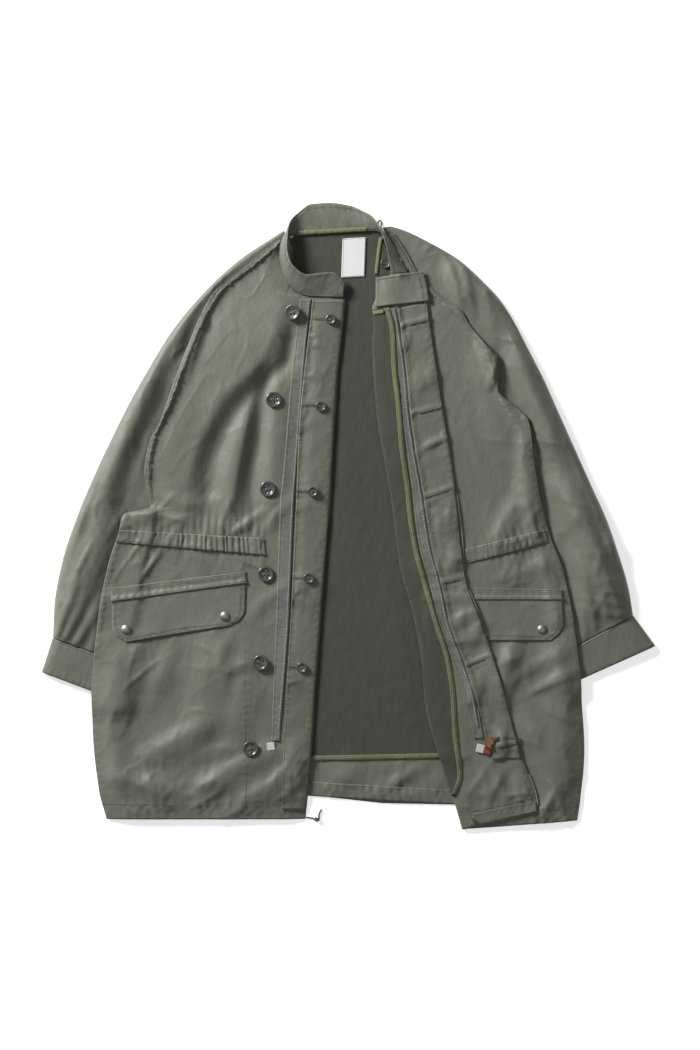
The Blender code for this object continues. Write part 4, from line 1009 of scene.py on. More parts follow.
def fanned(plan, rows, seed):
    """The height of the small ridges that fan out from the seams of a table."""
    total = np.zeros(plan.shape[:-1])
    for k, (x, y, end_x, end_y, pitch, reach, height) in enumerate(zip(*rows.values())):
        line = np.array([on_plan(x, y), on_plan(end_x, end_y)])
        distance, along, side = near_line(plan, line)
        length = np.linalg.norm(line[1] - line[0])
        drift = 0.9 * noise_over(plan, 2.2 * pitch, seed + k, 3.0) + 0.5 * side
        ends = np.clip(np.minimum(along, length - along) / pitch, 0, 1)
        strength = 0.75 + 0.5 * noise_over(plan, 3 * pitch, seed + 50 + k)
        wave = (1 + np.cos(2 * math.pi * along / pitch + 2.2 * drift)) / 2
        total += height * wave * strength * ends * np.exp(-((distance / reach) ** 1.5))
    return total


def slit_creases(plan, rows):
    """Ridges above and below each buttonhole, with the slit's dip between them."""
    total = np.zeros(plan.shape[:-1])
    for x, y, end_x, end_y, height in zip(*rows.values()):
        line = np.array([on_plan(x, y), on_plan(end_x, end_y)])
        run = line[1] - line[0]
        distance, along, side = near_line(plan, np.array([line[0] - 0.35 * run, line[1] + 0.25 * run]))
        above = np.exp(-(((distance - 3.4) / 3.0) ** 2)) * (0.7 + 0.3 * side)
        total += height * (above - 0.45 * np.exp(-((distance / 1.5) ** 2)))
    return total


def gather_wave(shares, gathers, seed):
    """The height of side-by-side gathers at these shares along a strip, none just like the next."""
    wave = np.zeros_like(shares)
    for start, end, count, height in zip(*gathers.values()):
        turn = (shares - start) / (end - start)
        steps = np.arange(int(count) + 2)
        drift = np.interp(turn * count, steps, np.random.default_rng(seed).uniform(-0.4, 0.4, len(steps)))
        size = np.interp(turn * count, steps, np.random.default_rng(seed + 1).uniform(0.3, 1.2, len(steps)))
        inside = (turn >= 0) & (turn <= 1)
        ends = np.clip(np.minimum(turn, 1 - turn) * count, 0, 1)
        gathers_here = ends * size * height * (1 - np.cos(2 * math.pi * (count * turn + drift))) / 2
        wave = np.where(inside, gathers_here, wave)
    return wave


def normals(points):
    """The sheet's normal at each of its points, facing up."""
    cross = np.cross(np.gradient(points, axis=1), np.gradient(points, axis=0))
    cross /= np.maximum(np.linalg.norm(cross, axis=-1, keepdims=True), 1e-9)
    return cross * np.where(cross[..., 2:] < 0, -1, 1)


class Pile:
    """The cloth laid so far: the height of its top over a square grid on the floor."""

    CELL = 1.5
    REACH = 510.0

    def __init__(self):
        self.top = np.zeros((int(2 * self.REACH / self.CELL),) * 2)

    def index(self, points):
        cell = np.floor((points[..., :2] + self.REACH) / self.CELL).astype(int)
        return tuple(np.clip(cell, 0, len(self.top) - 1).reshape(-1, 2).T)

    @staticmethod
    def dense(grid, factors):
        """The grid with each cell split evenly, by straight lines."""
        for axis, factor in enumerate(factors):
            count = grid.shape[axis]
            at = np.linspace(0, count - 1, (count - 1) * factor + 1)
            low = np.minimum(at.astype(int), count - 2)
            share = (at - low).reshape([-1 if a == axis else 1 for a in range(grid.ndim)])
            grid = np.take(grid, low, axis) * (1 - share) + np.take(grid, low + 1, axis) * share
        return grid

    def factors(self, points):
        """How many steps each way split every cell of the grid finer than the pile's own."""
        longest = [np.linalg.norm(np.diff(points[..., :2], axis=axis), axis=-1).max() for axis in (0, 1)]
        return [max(1, math.ceil(length / (0.8 * self.CELL))) for length in longest]

    def add(self, surface):
        """Lays a surface on the pile, given as its top."""
        points = self.dense(surface, self.factors(surface))
        np.maximum.at(self.top, self.index(points), points[..., 2].ravel())

    def widened(self, cells=1):
        """The top with each cell as high as the highest one within this many cells."""
        top = self.top
        for _ in range(cells):
            for axis in (0, 1):
                top = np.maximum(top, np.maximum(np.roll(top, 1, axis), np.roll(top, -1, axis)))
        return top

    @staticmethod
    def blurred(top, reach, cell):
        half = max(1, int(reach / cell))
        kernel = np.hanning(2 * half + 3)[1:-1]
        kernel /= kernel.sum()
        for axis in (0, 1):
            top = np.apply_along_axis(lambda line: np.convolve(line, kernel, "same"), axis, top)
        return top

    def rest(self, plan, relief=0.0, reach=0.0, tent=None):
        """A sheet of this plan on the pile: its relief over the cloth below, and clear of it everywhere.

        It bridges the steps below within this reach. Where tent is 1 it falls away slowly from the highest.
        """
        widened = self.widened()
        shape = plan.shape[:2]
        clear = np.maximum(widened, self.blurred(widened, 3.0, self.CELL))
        under = clear[self.index(plan)].reshape(shape)
        if reach:
            bridged = self.blurred(widened, reach, self.CELL)[self.index(plan)].reshape(shape)
            if tent is not None:
                draped = self.blurred(self.widened(int(reach / self.CELL) + 1), reach, self.CELL)
                bridged = bridged + (draped[self.index(plan)].reshape(shape) - bridged) * tent
            under = np.maximum(under, bridged)
        gap = np.where(under > 0, GAP, 0)
        height = under + gap + relief
        least = under * 0 + widened[self.index(plan)].reshape(shape) + gap
        return np.dstack([plan, np.maximum(height, least)])

    @staticmethod
    def drawn_taut(points, passes):
        """The sheet with its dents drawn up towards their surroundings, as stiff cloth bridges them."""
        height = points[..., 2].copy()
        for _ in range(passes):
            padded = np.pad(height, 1, mode="edge")
            mean = (padded[:-2, 1:-1] + padded[2:, 1:-1] + padded[1:-1, :-2] + padded[1:-1, 2:]) / 4
            height = np.maximum(height, mean)
        return np.dstack([points[..., :2], height])


class Work:
    """What has been laid so far: the pile, and each piece's upper face for what is sewn to it."""

    def __init__(self):
        self.pile = Pile()
        self.tops = {}
        self.trees = {}
        self.finishes = {}

    def tree(self, name):
        if name not in self.trees:
            points, faces = grid_faces([(self.tops[name], False)])
            self.trees[name] = BVHTree.FromPolygons([Vector(p) for p in points], faces.tolist())
        return self.trees[name]

    def height(self, x, y, names):
        """The upper face's height at this place, on the highest of these pieces."""
        hits = [self.tree(name).ray_cast(Vector((x, y, 90)), Vector((0, 0, -1)))[0] for name in names]
        return max([hit.z for hit in hits if hit is not None], default=0.0)


work = Work()


# ------------------------------------------------------------------ meshes


def grid_faces(grids):
    """The points and four-sided faces of some grids, one after the other."""
    points, faces, before = [], [], 0
    for grid, flip in grids:
        down, over = grid.shape[:2]
        corner = (np.arange(down - 1)[:, None] * over + np.arange(over - 1)).ravel() + before
        quads = np.stack([corner, corner + 1, corner + over + 1, corner + over], 1)
        faces.append(quads[:, ::-1] if flip else quads)
        points.append(grid[..., :3].reshape(-1, 3))
        before += down * over
    return np.concatenate(points), np.concatenate(faces)


def mesh_from(name, points, faces, values=None):
    """A mesh of these points, in millimetres on the plan, and faces, with a value at each point by name."""
    mesh = bpy.data.meshes.new(name)
    placed = (np.asarray(points, float) + (CENTRING, 0, 0)) * MM
    mesh.from_pydata(placed.tolist(), [], [tuple(face) for face in faces])
    for key, column in (values or {}).items():
        attribute = mesh.attributes.new(key, "FLOAT", "POINT")
        attribute.data.foreach_set("value", np.asarray(column, np.float32).ravel())
    mesh.update()
    mesh.shade_smooth()
    return mesh


def add_piece(name, data, finish, body=JACKET, replaced=()):
    """An object that rides on a body, in one of the finishes."""
    made = bpy.data.objects.new(name, data)
    bpy.context.scene.collection.objects.link(made)
    data.materials.append(work.finishes[finish])
    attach(made, body)
    if replaced:
        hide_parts(*replaced)
    return made


def side_distances(points):
    """How far each point of a sheet is from its four sides, along the cloth, and how far along each side."""
    steps_over = np.linalg.norm(np.diff(points, axis=1), axis=-1)
    steps_down = np.linalg.norm(np.diff(points, axis=0), axis=-1)
    over = np.concatenate([np.zeros((len(points), 1)), np.cumsum(steps_over, 1)], 1)
    down = np.concatenate([np.zeros((1, points.shape[1])), np.cumsum(steps_down, 0)], 0)
    return {
        "left": (over, down),
        "right": (over[:, -1:] - over, down),
        "first": (down, over),
        "last": (down[-1:] - down, over),
    }


def sheet_values(points, seams, joined):
    """Each point's distance from the nearest free side and the nearest stitched line, in millimetres."""
    sides = side_distances(points)
    edge = np.minimum.reduce([sides[side][0] for side in sides if side != joined])
    seam, along = np.full(edge.shape, 99.0), np.zeros(edge.shape)
    for kind, *where in seams:
        if kind == "line":
            distance, gone, _ = near_line(points[..., :2], seam_line(where[0]))
        else:
            distance, gone = np.abs(sides[kind][0] - where[0]), sides[kind][1]
        here = distance < seam
        seam, along = np.where(here, distance, seam), np.where(here, gone, along)
    return {"edge": edge, "seam": seam, "along": along}


def seam_line(pixels):
    """A smooth line on the plan through some pixels of the photograph."""
    return curve_through([on_plan(*pixel) for pixel in pixels], 5)


def add_cloth(name, grids, wall, finish, replaced, seams=(), joined="", outward=1):
    """A cloth piece: its grids joined where they meet, on the side named, and given the cloth's thickness."""
    points, faces = grid_faces(grids)
    parts = [sheet_values(grid, seams, joined) for grid, _ in grids]
    values = {key: np.concatenate([part[key].ravel() for part in parts]) for key in parts[0]}
    mesh = mesh_from(name, points, faces, values)
    if len(grids) > 1:
        bm = bmesh.new()
        bm.from_mesh(mesh)
        bmesh.ops.remove_doubles(bm, verts=bm.verts, dist=1e-6)
        bm.to_mesh(mesh)
        bm.free()
    made = add_piece(name, mesh, finish, JACKET, replaced)
    solid = made.modifiers.new("wall", "SOLIDIFY")
    solid.thickness = wall * MM
    solid.offset = outward
    return made


def cloth_size(points):
    """The width, length and area of a sheet, along the cloth, in metres."""
    over = np.linalg.norm(np.diff(points, axis=1), axis=-1).sum(1).max() * MM
    down = np.linalg.norm(np.diff(points, axis=0), axis=-1).sum(0).max() * MM
    first = points[1:, 1:] - points[:-1, :-1]
    second = points[1:, :-1] - points[:-1, 1:]
    area = np.linalg.norm(np.cross(first, second), axis=-1).sum() / 2 * MM * MM
    return over, down, area


def declare(points):
    """Works out the sheet's width, length and area along its own cloth, and keeps none of them."""
    over, down, area = cloth_size(points)
    over, down = max(over, 0.01), max(down, 0.01)


def lay(
    name, plan, wall, finish, relief=0.0, reach=0.0, taut=0, seams=(), new=False, tent=None
):
    """Lays one sheet on the pile, and makes its piece, in place of its node unless it is new."""
    points = work.pile.drawn_taut(work.pile.rest(plan, relief, reach, tent), taut)
    top = points + normals(points) * wall
    work.pile.add(top)
    work.tops[name] = top
    made = add_cloth(name + "_cloth", [(points, False)], wall, finish, () if new else [name], seams)
    declare(points)
    return points


# ------------------------------------------------------------------ thread, teeth and cords


def line_on(name, side, inset, start=0.0, end=1.0):
    """A line on a piece's upper face, at this distance from one of its sides."""
    points = work.tops[name]
    distance = side_distances(points)[side][0]
    if side in ("first", "last"):
        points, distance = points.transpose(1, 0, 2), distance.T
    line = []
    for row, gone in zip(points, distance):
        order = np.argsort(gone)
        line.append([np.interp(inset, gone[order], row[order, k]) for k in range(3)])
    line = np.array(line)
    return line[round(start * (len(line) - 1)) : round(end * (len(line) - 1)) + 1]


def dropped(pixels, names, step=3.0):
    """A line through some pixels, laid on the upper face of these pieces."""
    line = evenly(seam_line(pixels), step)
    return np.array([(x, y, work.height(x, y, names)) for x, y in line])


def evenly(line, step):
    """The line at even steps."""
    gone = np.concatenate([[0], np.cumsum(np.linalg.norm(np.diff(line, axis=0), axis=1))])
    at = np.linspace(0, gone[-1], max(2, int(gone[-1] / step) + 1))
    return np.stack([np.interp(at, gone, line[:, k]) for k in range(line.shape[1])], 1)


def beads(line, pitch, length, width, height, crosswise=False, proud=0.12):
    """Small rounded bars along a line, or across it, with their points and faces."""
    at = evenly(line, pitch)
    way = np.gradient(at, axis=0)
    way /= np.maximum(np.linalg.norm(way, axis=1, keepdims=True), 1e-9)
    aside = np.cross(way, (0.0, 0.0, 1.0))
    aside /= np.maximum(np.linalg.norm(aside, axis=1, keepdims=True), 1e-9)
    up = np.cross(aside, way)
    if crosswise:
        way, aside = aside, way
    middle = at + up * (proud + height * 0.3)
    points = [middle - way * length / 2 - up * height * 0.35]
    for share in (-0.32, 0.32):
        for a, b in ((1, 0), (0.72, 0.8), (-0.72, 0.8), (-1, 0), (0, -0.8)):
            points.append(middle + way * length * share + aside * width / 2 * a + up * height * 0.6 * b)
    points.append(middle + way * length / 2 - up * height * 0.35)
    points = np.stack(points, 1)
    faces = []
    for k in range(5):
        n = (k + 1) % 5
        faces += [(0, 1 + n, 1 + k), (1 + k, 1 + n, 6 + n, 6 + k), (6 + k, 6 + n, 11)]
    shifted = [tuple(i + 12 * row for i in face) for row in range(len(at)) for face in faces]
    return points.reshape(-1, 3), shifted


def add_beads(name, lines, finish, pitch, length, width, height, crosswise=False, proud=0.12):
    """One piece of many bars, such as thread's stitches or a zip's teeth."""
    points, faces = [], []
    for line in lines:
        made, around = beads(line, pitch, length, width, height, crosswise, proud)
        before = sum(map(len, points))
        points.append(made)
        faces += [tuple(i + before for i in face) for face in around]
    return add_piece(name, mesh_from(name, np.concatenate(points), faces), finish)


def add_stitches(name, lines, finish="thread"):
    sizes = bpy.context.scene.jacket_sizes
    return add_beads(name, lines, finish, sizes.stitch_pitch / MM, sizes.stitch / MM, 0.75, 0.42)


def add_cord(name, points, diameter, finish, body=JACKET, replaced=()):
    """A cord: a round tube along a smooth line through these points."""
    curve = bpy.data.curves.new(name, "CURVE")
    curve.dimensions = "3D"
    curve.bevel_depth = diameter / 2 * MM
    curve.bevel_resolution = 4
    curve.resolution_u = 6
    curve.use_fill_caps = True
    spline = curve.splines.new("NURBS")
    spline.points.add(len(points) - 1)
    for point, at in zip(spline.points, points):
        point.co = (*((Vector(at) + Vector((CENTRING, 0, 0))) * MM), 1)
    spline.order_u = 4
    spline.use_endpoint_u = True
    return add_piece(name, curve, finish, body, replaced)


def rows_of(rows):
    return np.stack(list(rows.values()), 1)


def add_knot(name, at, radii, cord, finish, body, replaced):
    """An overhand knot: a cord wound through itself, drawn tight to these radii."""
    turns = np.linspace(0, 2 * math.pi, 40, endpoint=False)
    x = (np.sin(turns) + 2 * np.sin(2 * turns)) / 3
    y = (np.cos(turns) - 2 * np.cos(2 * turns)) / 3
    z = -np.sin(3 * turns)
    scale = np.array(radii) - cord / 2
    curve = bpy.data.curves.new(name, "CURVE")
    curve.dimensions = "3D"
    curve.bevel_depth = cord / 2 * MM
    curve.bevel_resolution = 3
    spline = curve.splines.new("POLY")
    spline.points.add(len(turns) - 1)
    for point, place in zip(spline.points, np.stack([x, y, z], 1) * scale + at):
        point.co = (*((Vector(place) + Vector((CENTRING, 0, 0))) * MM), 1)
    spline.use_cyclic_u = True
    return add_piece(name, curve, finish, body, replaced)


# ------------------------------------------------------------------ finishes


class Socket:
    """A shader socket, with its maths written as Python expressions."""

    def __init__(self, finish, socket):
        self.finish, self.socket = finish, socket

    def math(self, operation, *others):
        return self.finish.node("ShaderNodeMath", {"operation": operation}, dict(enumerate((self, *others))))

    def flipped(self, operation, other):
        return self.finish.node("ShaderNodeMath", {"operation": operation}, {0: other, 1: self})

    def __add__(self, other):
        return self.math("ADD", other)

    def __sub__(self, other):
        return self.math("SUBTRACT", other)

    def __mul__(self, other):
        return self.math("MULTIPLY", other)

    def __truediv__(self, other):
        return self.math("DIVIDE", other)

    def __pow__(self, other):
        return self.math("POWER", other)

    def __rsub__(self, other):
        return self.flipped("SUBTRACT", other)

    def __rtruediv__(self, other):
        return self.flipped("DIVIDE", other)

    def __rpow__(self, other):
        return self.flipped("POWER", other)

    def __neg__(self):
        return self.math("MULTIPLY", -1.0)

    __radd__ = __add__
    __rmul__ = __mul__

    def sine(self):
        return self.math("SINE")

    def size(self):
        return self.math("ABSOLUTE")

    def held(self):
        """The value held between 0 and 1."""
        return self.finish.node("ShaderNodeClamp", {}, {"Value": self})

    def near(self, width):
        """1 where the value is nought, falling off over this width."""
        return 2.718 ** (-((self / width) ** 2.0))


class Finish:
    """A material on the standard shader, whose sockets are fed by name."""

    def __init__(self, name, **constants):
        self.material = bpy.data.materials.new(name)
        self.material.use_nodes = True
        self.tree = self.material.node_tree
        self.shader = self.tree.nodes["Principled BSDF"]
        for key, value in constants.items():
            self.shader.inputs[key.replace("_", " ")].default_value = value
        work.finishes[name] = self.material

    def node(self, kind, settings=None, inputs=None, output=0):
        """Any node, with its settings made first, then the values or links of its sockets."""
        made = self.tree.nodes.new(kind)
        for key, value in (settings or {}).items():
            setattr(made, key, value)
        for key, value in (inputs or {}).items():
            if isinstance(value, Socket):
                self.tree.links.new(value.socket, made.inputs[key])
            else:
                made.inputs[key].default_value = value
        return Socket(self, made.outputs[output])

    def place(self):
        return self.node("ShaderNodeTexCoord", output="Object")

    def value(self, name):
        """A value that the mesh carries at its points."""
        return self.node("ShaderNodeAttribute", {"attribute_name": name}, output="Fac")

    def stretched(self, x, y, z, turn=0.0):
        """The object's place, with each axis scaled."""
        inputs = {"Vector": self.place(), "Scale": (x, y, z), "Rotation": (0, 0, math.radians(turn))}
        return self.node("ShaderNodeMapping", {}, inputs)

    def noise(self, scale, detail=2.0, vector=None, roughness=0.5):
        inputs = {"Vector": vector or self.place(), "Scale": scale, "Detail": detail, "Roughness": roughness}
        return self.node("ShaderNodeTexNoise", {}, inputs, "Fac")

    def mix(self, share, first, second, blend="MIX"):
        """Two colours mixed by a share."""
        settings = {"data_type": "RGBA", "blend_type": blend}
        return self.node("ShaderNodeMix", settings, {0: share, 6: first, 7: second}, 2)

    def feed(self, name, source):
        self.tree.links.new(source.socket, self.shader.inputs[name])

    def bump(self, height, distance, strength=1.0):
        """Raises the surface by a height from 0 to 1 times this distance, in metres."""
        inputs = {"Height": height, "Distance": distance, "Strength": strength}
        self.feed("Normal", self.node("ShaderNodeBump", {}, inputs, "Normal"))


def rgb(colour, factor=1.0):
    return tuple(min(1.0, c * factor) for c in colour[:3]) + (1.0,)


def threads(finish, pitch, turn=0.0):
    """A weave: threads across each other at this pitch, in metres, from 0 to 1."""
    along = finish.stretched(1 / pitch, 1 / pitch, 1 / pitch, turn)
    warp = finish.node("ShaderNodeSeparateXYZ", {}, {"Vector": along})
    return warp, Socket(finish, warp.socket.node.outputs["Y"])


def cloth_finish(name, colour, dark, roughness, pitch, sheen, satin=0.0, turn=0.0, worn=0.35):
    """A woven cloth: its threads, uneven dye, worn edges, the pull of its stitching, and painted shade in the dark
    colour along its stitched lines.
    """
    made = Finish(name, Roughness=roughness, Sheen_Weight=sheen, Sheen_Roughness=0.45)
    made.shader.inputs["Specular IOR Level"].default_value = 0.36 if satin else 0.2
    warp, weft = threads(made, pitch, turn)
    turns = 2 * math.pi
    floats = ((weft * turns + warp * 1.7).sine() * 0.5 + 0.5) * 0.6
    weave = ((warp * turns).sine() * 0.5 + 0.5) * (1 - satin) + floats
    slub = made.noise(1.0, 2.0, made.stretched(900, 70, 900, turn))
    cloud = made.noise(14.0, 3.0)
    fleck = made.noise(420.0, 2.0)
    edge, seam, along = made.value("edge"), made.value("seam"), made.value("along")
    rubbed = (edge.near(1.6) * (made.noise(160.0, 3.0) * 1.6 - 0.25).held() * worn).held()
    stitched = seam.near(0.9)
    tone = (cloud * 0.35 + made.noise(4.5, 2.0) * 0.3 + slub * 0.2 + fleck * 0.15).held()
    base = made.mix(tone, rgb(colour, 0.86), rgb(colour, 1.16))
    # painted shade: the stitched lines are darkened towards the dark colour, as if shaded in their grooves
    base = made.mix((stitched * 0.22).held(), base, rgb(dark))
    base = made.mix(rubbed, base, rgb(colour, 1.55))
    made.feed("Base Color", base)
    made.feed("Roughness", (roughness - 0.08 + slub * 0.1 + rubbed * 0.15 + fleck * 0.06).held())
    pull = ((along * (turns / 11.0) + cloud * 16.0).sine() * 0.5 + 0.5) * seam.near(6.0) * (1 - stitched)
    crumple = made.noise(1.0, 3.0, made.stretched(75, 45, 60, 20))
    height = weave * 0.05 + crumple * 1.2 + pull * 0.3 - stitched * 0.4 + slub * 0.08
    made.bump(height, 0.0011)
    return made


def smooth_finish(name, colour, roughness, metallic=0.0, coat=0.0, speckle=0.12, grain=500.0, scratch=0.25):
    """A moulded, painted or plated finish, with a faint grain and rubbed high spots."""
    made = Finish(name, Roughness=roughness, Metallic=metallic, Coat_Weight=coat, Coat_Roughness=0.12)
    cloud = made.noise(grain * 0.25, 3.0)
    fine = made.noise(grain * 3, 2.0)
    worn = (made.noise(grain * 0.6, 4.0) * 2.4 - 1.1).held()
    flecked = made.mix((cloud * 0.7 + fine * 0.3).held(), rgb(colour, 1 - speckle), rgb(colour, 1 + speckle))
    made.feed("Base Color", flecked)
    made.feed("Roughness", (roughness + worn * scratch * 0.4 + fine * 0.06).held())
    made.bump(cloud * 0.4 + fine * 0.3, 0.00012)
    return made


def cord_finish(name, colour):
    """A braided cord: strands that cross along it."""
    made = Finish(name, Roughness=0.7, Sheen_Weight=0.25)
    warp, weft = threads(made, 0.0011, 35)
    strand = (warp * 2 * math.pi).sine() * (weft * 2 * math.pi).sine() * 0.5 + 0.5
    made.feed("Base Color", made.mix(strand, rgb(colour, 0.7), rgb(colour, 1.5)))
    made.feed("Roughness", strand * 0.15 + 0.6)
    made.bump(strand, 0.00025)
    return made


def label_finish(name, colour):
    """A plain woven tape label, a little frayed and shaded."""
    made = Finish(name, Roughness=0.75, Sheen_Weight=0.2)
    warp, weft = threads(made, 0.0006)
    weave = (warp * 2 * math.pi).sine() * 0.25 + (weft * 2 * math.pi).sine() * 0.25 + 0.5
    shade = made.noise(60.0, 3.0)
    clean = made.mix((weave * 0.3 + shade * 0.5).held(), rgb(colour, 0.86), rgb(colour, 1.0))
    made.feed("Base Color", clean)
    made.feed("Roughness", shade * 0.15 + 0.65)
    made.bump(weave * 0.4 + shade * 0.8, 0.0006)
    return made


def floor_finish(name, colour):
    made = Finish(name, Roughness=0.85, Emission_Color=(1, 1, 1, 1), Emission_Strength=0.55)
    paper = made.noise(900.0, 3.0)
    made.feed("Base Color", made.mix(paper, rgb(colour, 0.99), rgb(colour, 1.0)))
    made.bump(paper, 0.00005)
    return made


# ------------------------------------------------------------------ what a user would change


def length_property(name, description, default):
    return FloatProperty(name=name, description=description, default=default, unit="LENGTH", precision=4)


def colour_property(name, description, default):
    return FloatVectorProperty(
        name=name, description=description, default=default, size=3, subtype="COLOR", min=0, max=1
    )


class JacketSizes(bpy.types.PropertyGroup):
    shell_wall: length_property("Shell thickness", "Thickness of the shell cloth", 0.0008)
    lining_wall: length_property("Lining thickness", "Thickness of linings and turned hems", 0.0007)
    double_wall: length_property("Double thickness", "Thickness of the collar and cuffs", 0.0016)
    trim_wall: length_property("Trim thickness", "Thickness of tapes and the label", 0.0007)
    cell: length_property("Cloth detail", "Distance between the points of a panel", 0.0029)
    stitch: length_property("Stitch length", "Length of one stitch", 0.0024)
    stitch_pitch: length_property("Stitch pitch", "Distance between stitches", 0.0033)
    tooth_pitch: length_property("Zip tooth pitch", "Distance between the zip's teeth", 0.0021)
    big_button: length_property("Large button", "Diameter of the large buttons", 0.023)
    small_button: length_property("Small button", "Diameter of the small buttons", 0.015)
    snap: length_property("Snap", "Diameter of the snaps", 0.014)
    hem_cord: length_property("Drawstring", "Diameter of the hem's drawstring", 0.0026)
    pull_cord: length_property("Pull cord", "Diameter of the cord on the zip's pull", 0.0018)
    button_steps: IntProperty(name="Button steps", description="Steps round a button", default=56, min=12, max=128)


class JacketColours(bpy.types.PropertyGroup):
    shell: colour_property("Shell", "Sage green cotton satin", (0.134, 0.138, 0.107))
    # painted shade for the shell's stitched grooves
    shell_seam_shade: colour_property("Shell in seams", "The shell where it is stitched down", (0.05, 0.05, 0.039))
    lining: colour_property("Lining", "Dark grey-brown lining", (0.062, 0.06, 0.049))
    # painted shade for the lining's stitched grooves
    lining_seam_shade: colour_property("Lining in seams", "The lining where it is stitched down", (0.03, 0.029, 0.024))
    binding: colour_property("Binding", "Green binding tape", (0.16, 0.172, 0.088))
    tape: colour_property("Zip tape", "Grey zip tape", (0.145, 0.149, 0.132))
    label: colour_property("Label", "White label", (0.82, 0.82, 0.83))
    button: colour_property("Button", "Dark grey buttons", (0.062, 0.062, 0.058))
    snap: colour_property("Snap", "Plated snaps", (0.3, 0.3, 0.29))
    pull: colour_property("Pull tab", "Orange pull tab", (0.27, 0.08, 0.032))
    slider: colour_property("Slider", "Red-brown slider", (0.2, 0.045, 0.025))
    cord: colour_property("Cord", "Dark green cord", (0.075, 0.08, 0.065))
    thread: colour_property("Thread", "Sewing thread", (0.13, 0.13, 0.1))
    floor: colour_property("Floor", "Pale floor", (0.93, 0.93, 0.93))


# ------------------------------------------------------------------ the pieces


class JacketOperator(bpy.types.Operator):
    """What every step of the jacket shares"""

    bl_options = {"REGISTER"}

    def execute(self, context):
        self.make(context.scene.jacket_sizes, context.scene.jacket_colours)
        return {"FINISHED"}


class JACKET_OT_finishes(JacketOperator):
    """Makes the materials, and puts them on the parts that stay as they are"""

    bl_idname = "jacket.finishes"
    bl_label = "Finishes"

    def make(self, sizes, colours):
        cloth_finish("shell", colours.shell, colours.shell_seam_shade, 0.5, 0.0007, 0.06, 0.35)
        cloth_finish("shell_sleeve", colours.shell, colours.shell_seam_shade, 0.5, 0.0007, 0.06, 0.35, 28)
        cloth_finish("lining", colours.lining, colours.lining_seam_shade, 0.85, 0.0009, 0.08, 0.0, 0, 0.0)
        # a darker copy of the lining: painted shade on the roll's side that faces the key light
        cloth_finish("lining_roll_shade", rgb(colours.lining, 0.55), colours.lining_seam_shade, 0.9, 0.0009, 0.02, 0.0, 0, 0.0)
        cloth_finish("binding", colours.binding, colours.lining_seam_shade, 0.7, 0.0012, 0.2, 0.0, 45)
        cloth_finish("zip_tape", colours.tape, colours.lining_seam_shade, 0.6, 0.0010, 0.15, 0.0, 8)
        label_finish("label", colours.label)
        smooth_finish("teeth", rgb(colours.tape, 1.25), 0.35, 0.0, 0.2)
        smooth_finish("zip_box", rgb(colours.label, 0.62), 0.4)
        smooth_finish("button", colours.button, 0.24, 0.0, 0.5, 0.3, 260.0)
        smooth_finish("snap", colours.snap, 0.45, 1.0, 0.0, 0.1, 700.0, 0.5)
        smooth_finish("slider", colours.slider, 0.42, 0.1, 0.15, 0.25, 700.0)
        smooth_finish("pull_tab", colours.pull, 0.4, 0.0, 0.15, 0.25, 700.0)
        cord_finish("cord", colours.cord)
        cord_finish("thread", colours.thread)
        # dark bars for the buttonholes' slits: painted shade
        cord_finish("slit_shade", rgb(colours.cord, 0.6))
        cord_finish("piping", rgb(colours.binding, 1.25))
        for node, finish in (
            ("zip_slider", "slider"),
            ("pull_tab", "pull_tab"),
            ("zip_box_left", "zip_box"),
            ("zip_box_right", "zip_box"),
        ):
            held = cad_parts[node]
            for slot in held.material_slots:
                slot.material = work.finishes[finish]


def pieces_grid(rows, cell, first="left", second="right"):
    """How many points down and over a panel needs for this distance between them."""
    gap_x, gap_y = (rows[first + axis] - rows[second + axis] for axis in ("_x", "_y"))
    across_it = np.hypot(gap_x, gap_y).max()
    steps = [np.hypot(np.diff(rows[e + "_x"]), np.diff(rows[e + "_y"])).sum() for e in (first, second)]
    return max(3, int(max(steps) / cell) + 1), max(3, int(across_it / cell) + 1)


def tube_points(rows, down, over, folds, patches, seed):
    """The outer faces of a flattened tube, above and below, from its outer to its inner edge."""
    at = resampled(rows, down, "outer", "inner")
    share = across(over, 0.6)
    outer = np.stack([at["outer_x"], at["outer_y"]], 1)[:, None]
    inner = np.stack([at["inner_x"], at["inner_y"]], 1)[:, None]
    plan = outer + (inner - outer) * share[None, :, None]
    width = np.linalg.norm(inner - outer, axis=-1)
    crest, seam, gap = (at[name][:, None] for name in ("crest", "seam", "open"))
    gap = np.clip(gap, 0, 1)
    drop = np.clip((share[None] - 0.22) / 0.6, 0, 1)
    top = crest + (seam - crest) * drop * drop * (3 - 2 * drop)
    ends = np.clip(np.minimum(np.arange(down), np.arange(down)[::-1]) / 8, 0, 1)[:, None]
    relief = np.zeros(plan.shape[:2])
    if folds:
        relief = folded(plan, folds) + crumpled(plan, patches, 500 + seed)
    relief = relief + (rumpled(plan, 1.3, seed, 20) - 1.3) * ends
    top = top + relief * (1 - drop * 0.4) * (1 - gap * np.clip((share[None] - 0.84) / 0.16, 0, 1))
    middle = 0.42 * np.minimum(crest, seam)

    def rounding(distance, reach):
        return np.sqrt(1 - (1 - np.clip(distance / reach, 0, 1)) ** 2)

    near_outer, near_inner = share[None] * width, (1 - share[None]) * width
    outer_top, inner_top = rounding(near_outer, np.minimum(13, width / 2)), rounding(near_inner, 6)
    outer_low, inner_low = rounding(near_outer, 5), rounding(near_inner, 4)
    inner_top, inner_low = inner_top + (1 - inner_top) * gap, inner_low + (1 - inner_low) * gap
    upper = middle + (top - middle) * outer_top * inner_top
    lower = middle * (1 - outer_low * inner_low)
    return np.dstack([plan, upper]), np.dstack([plan, lower])


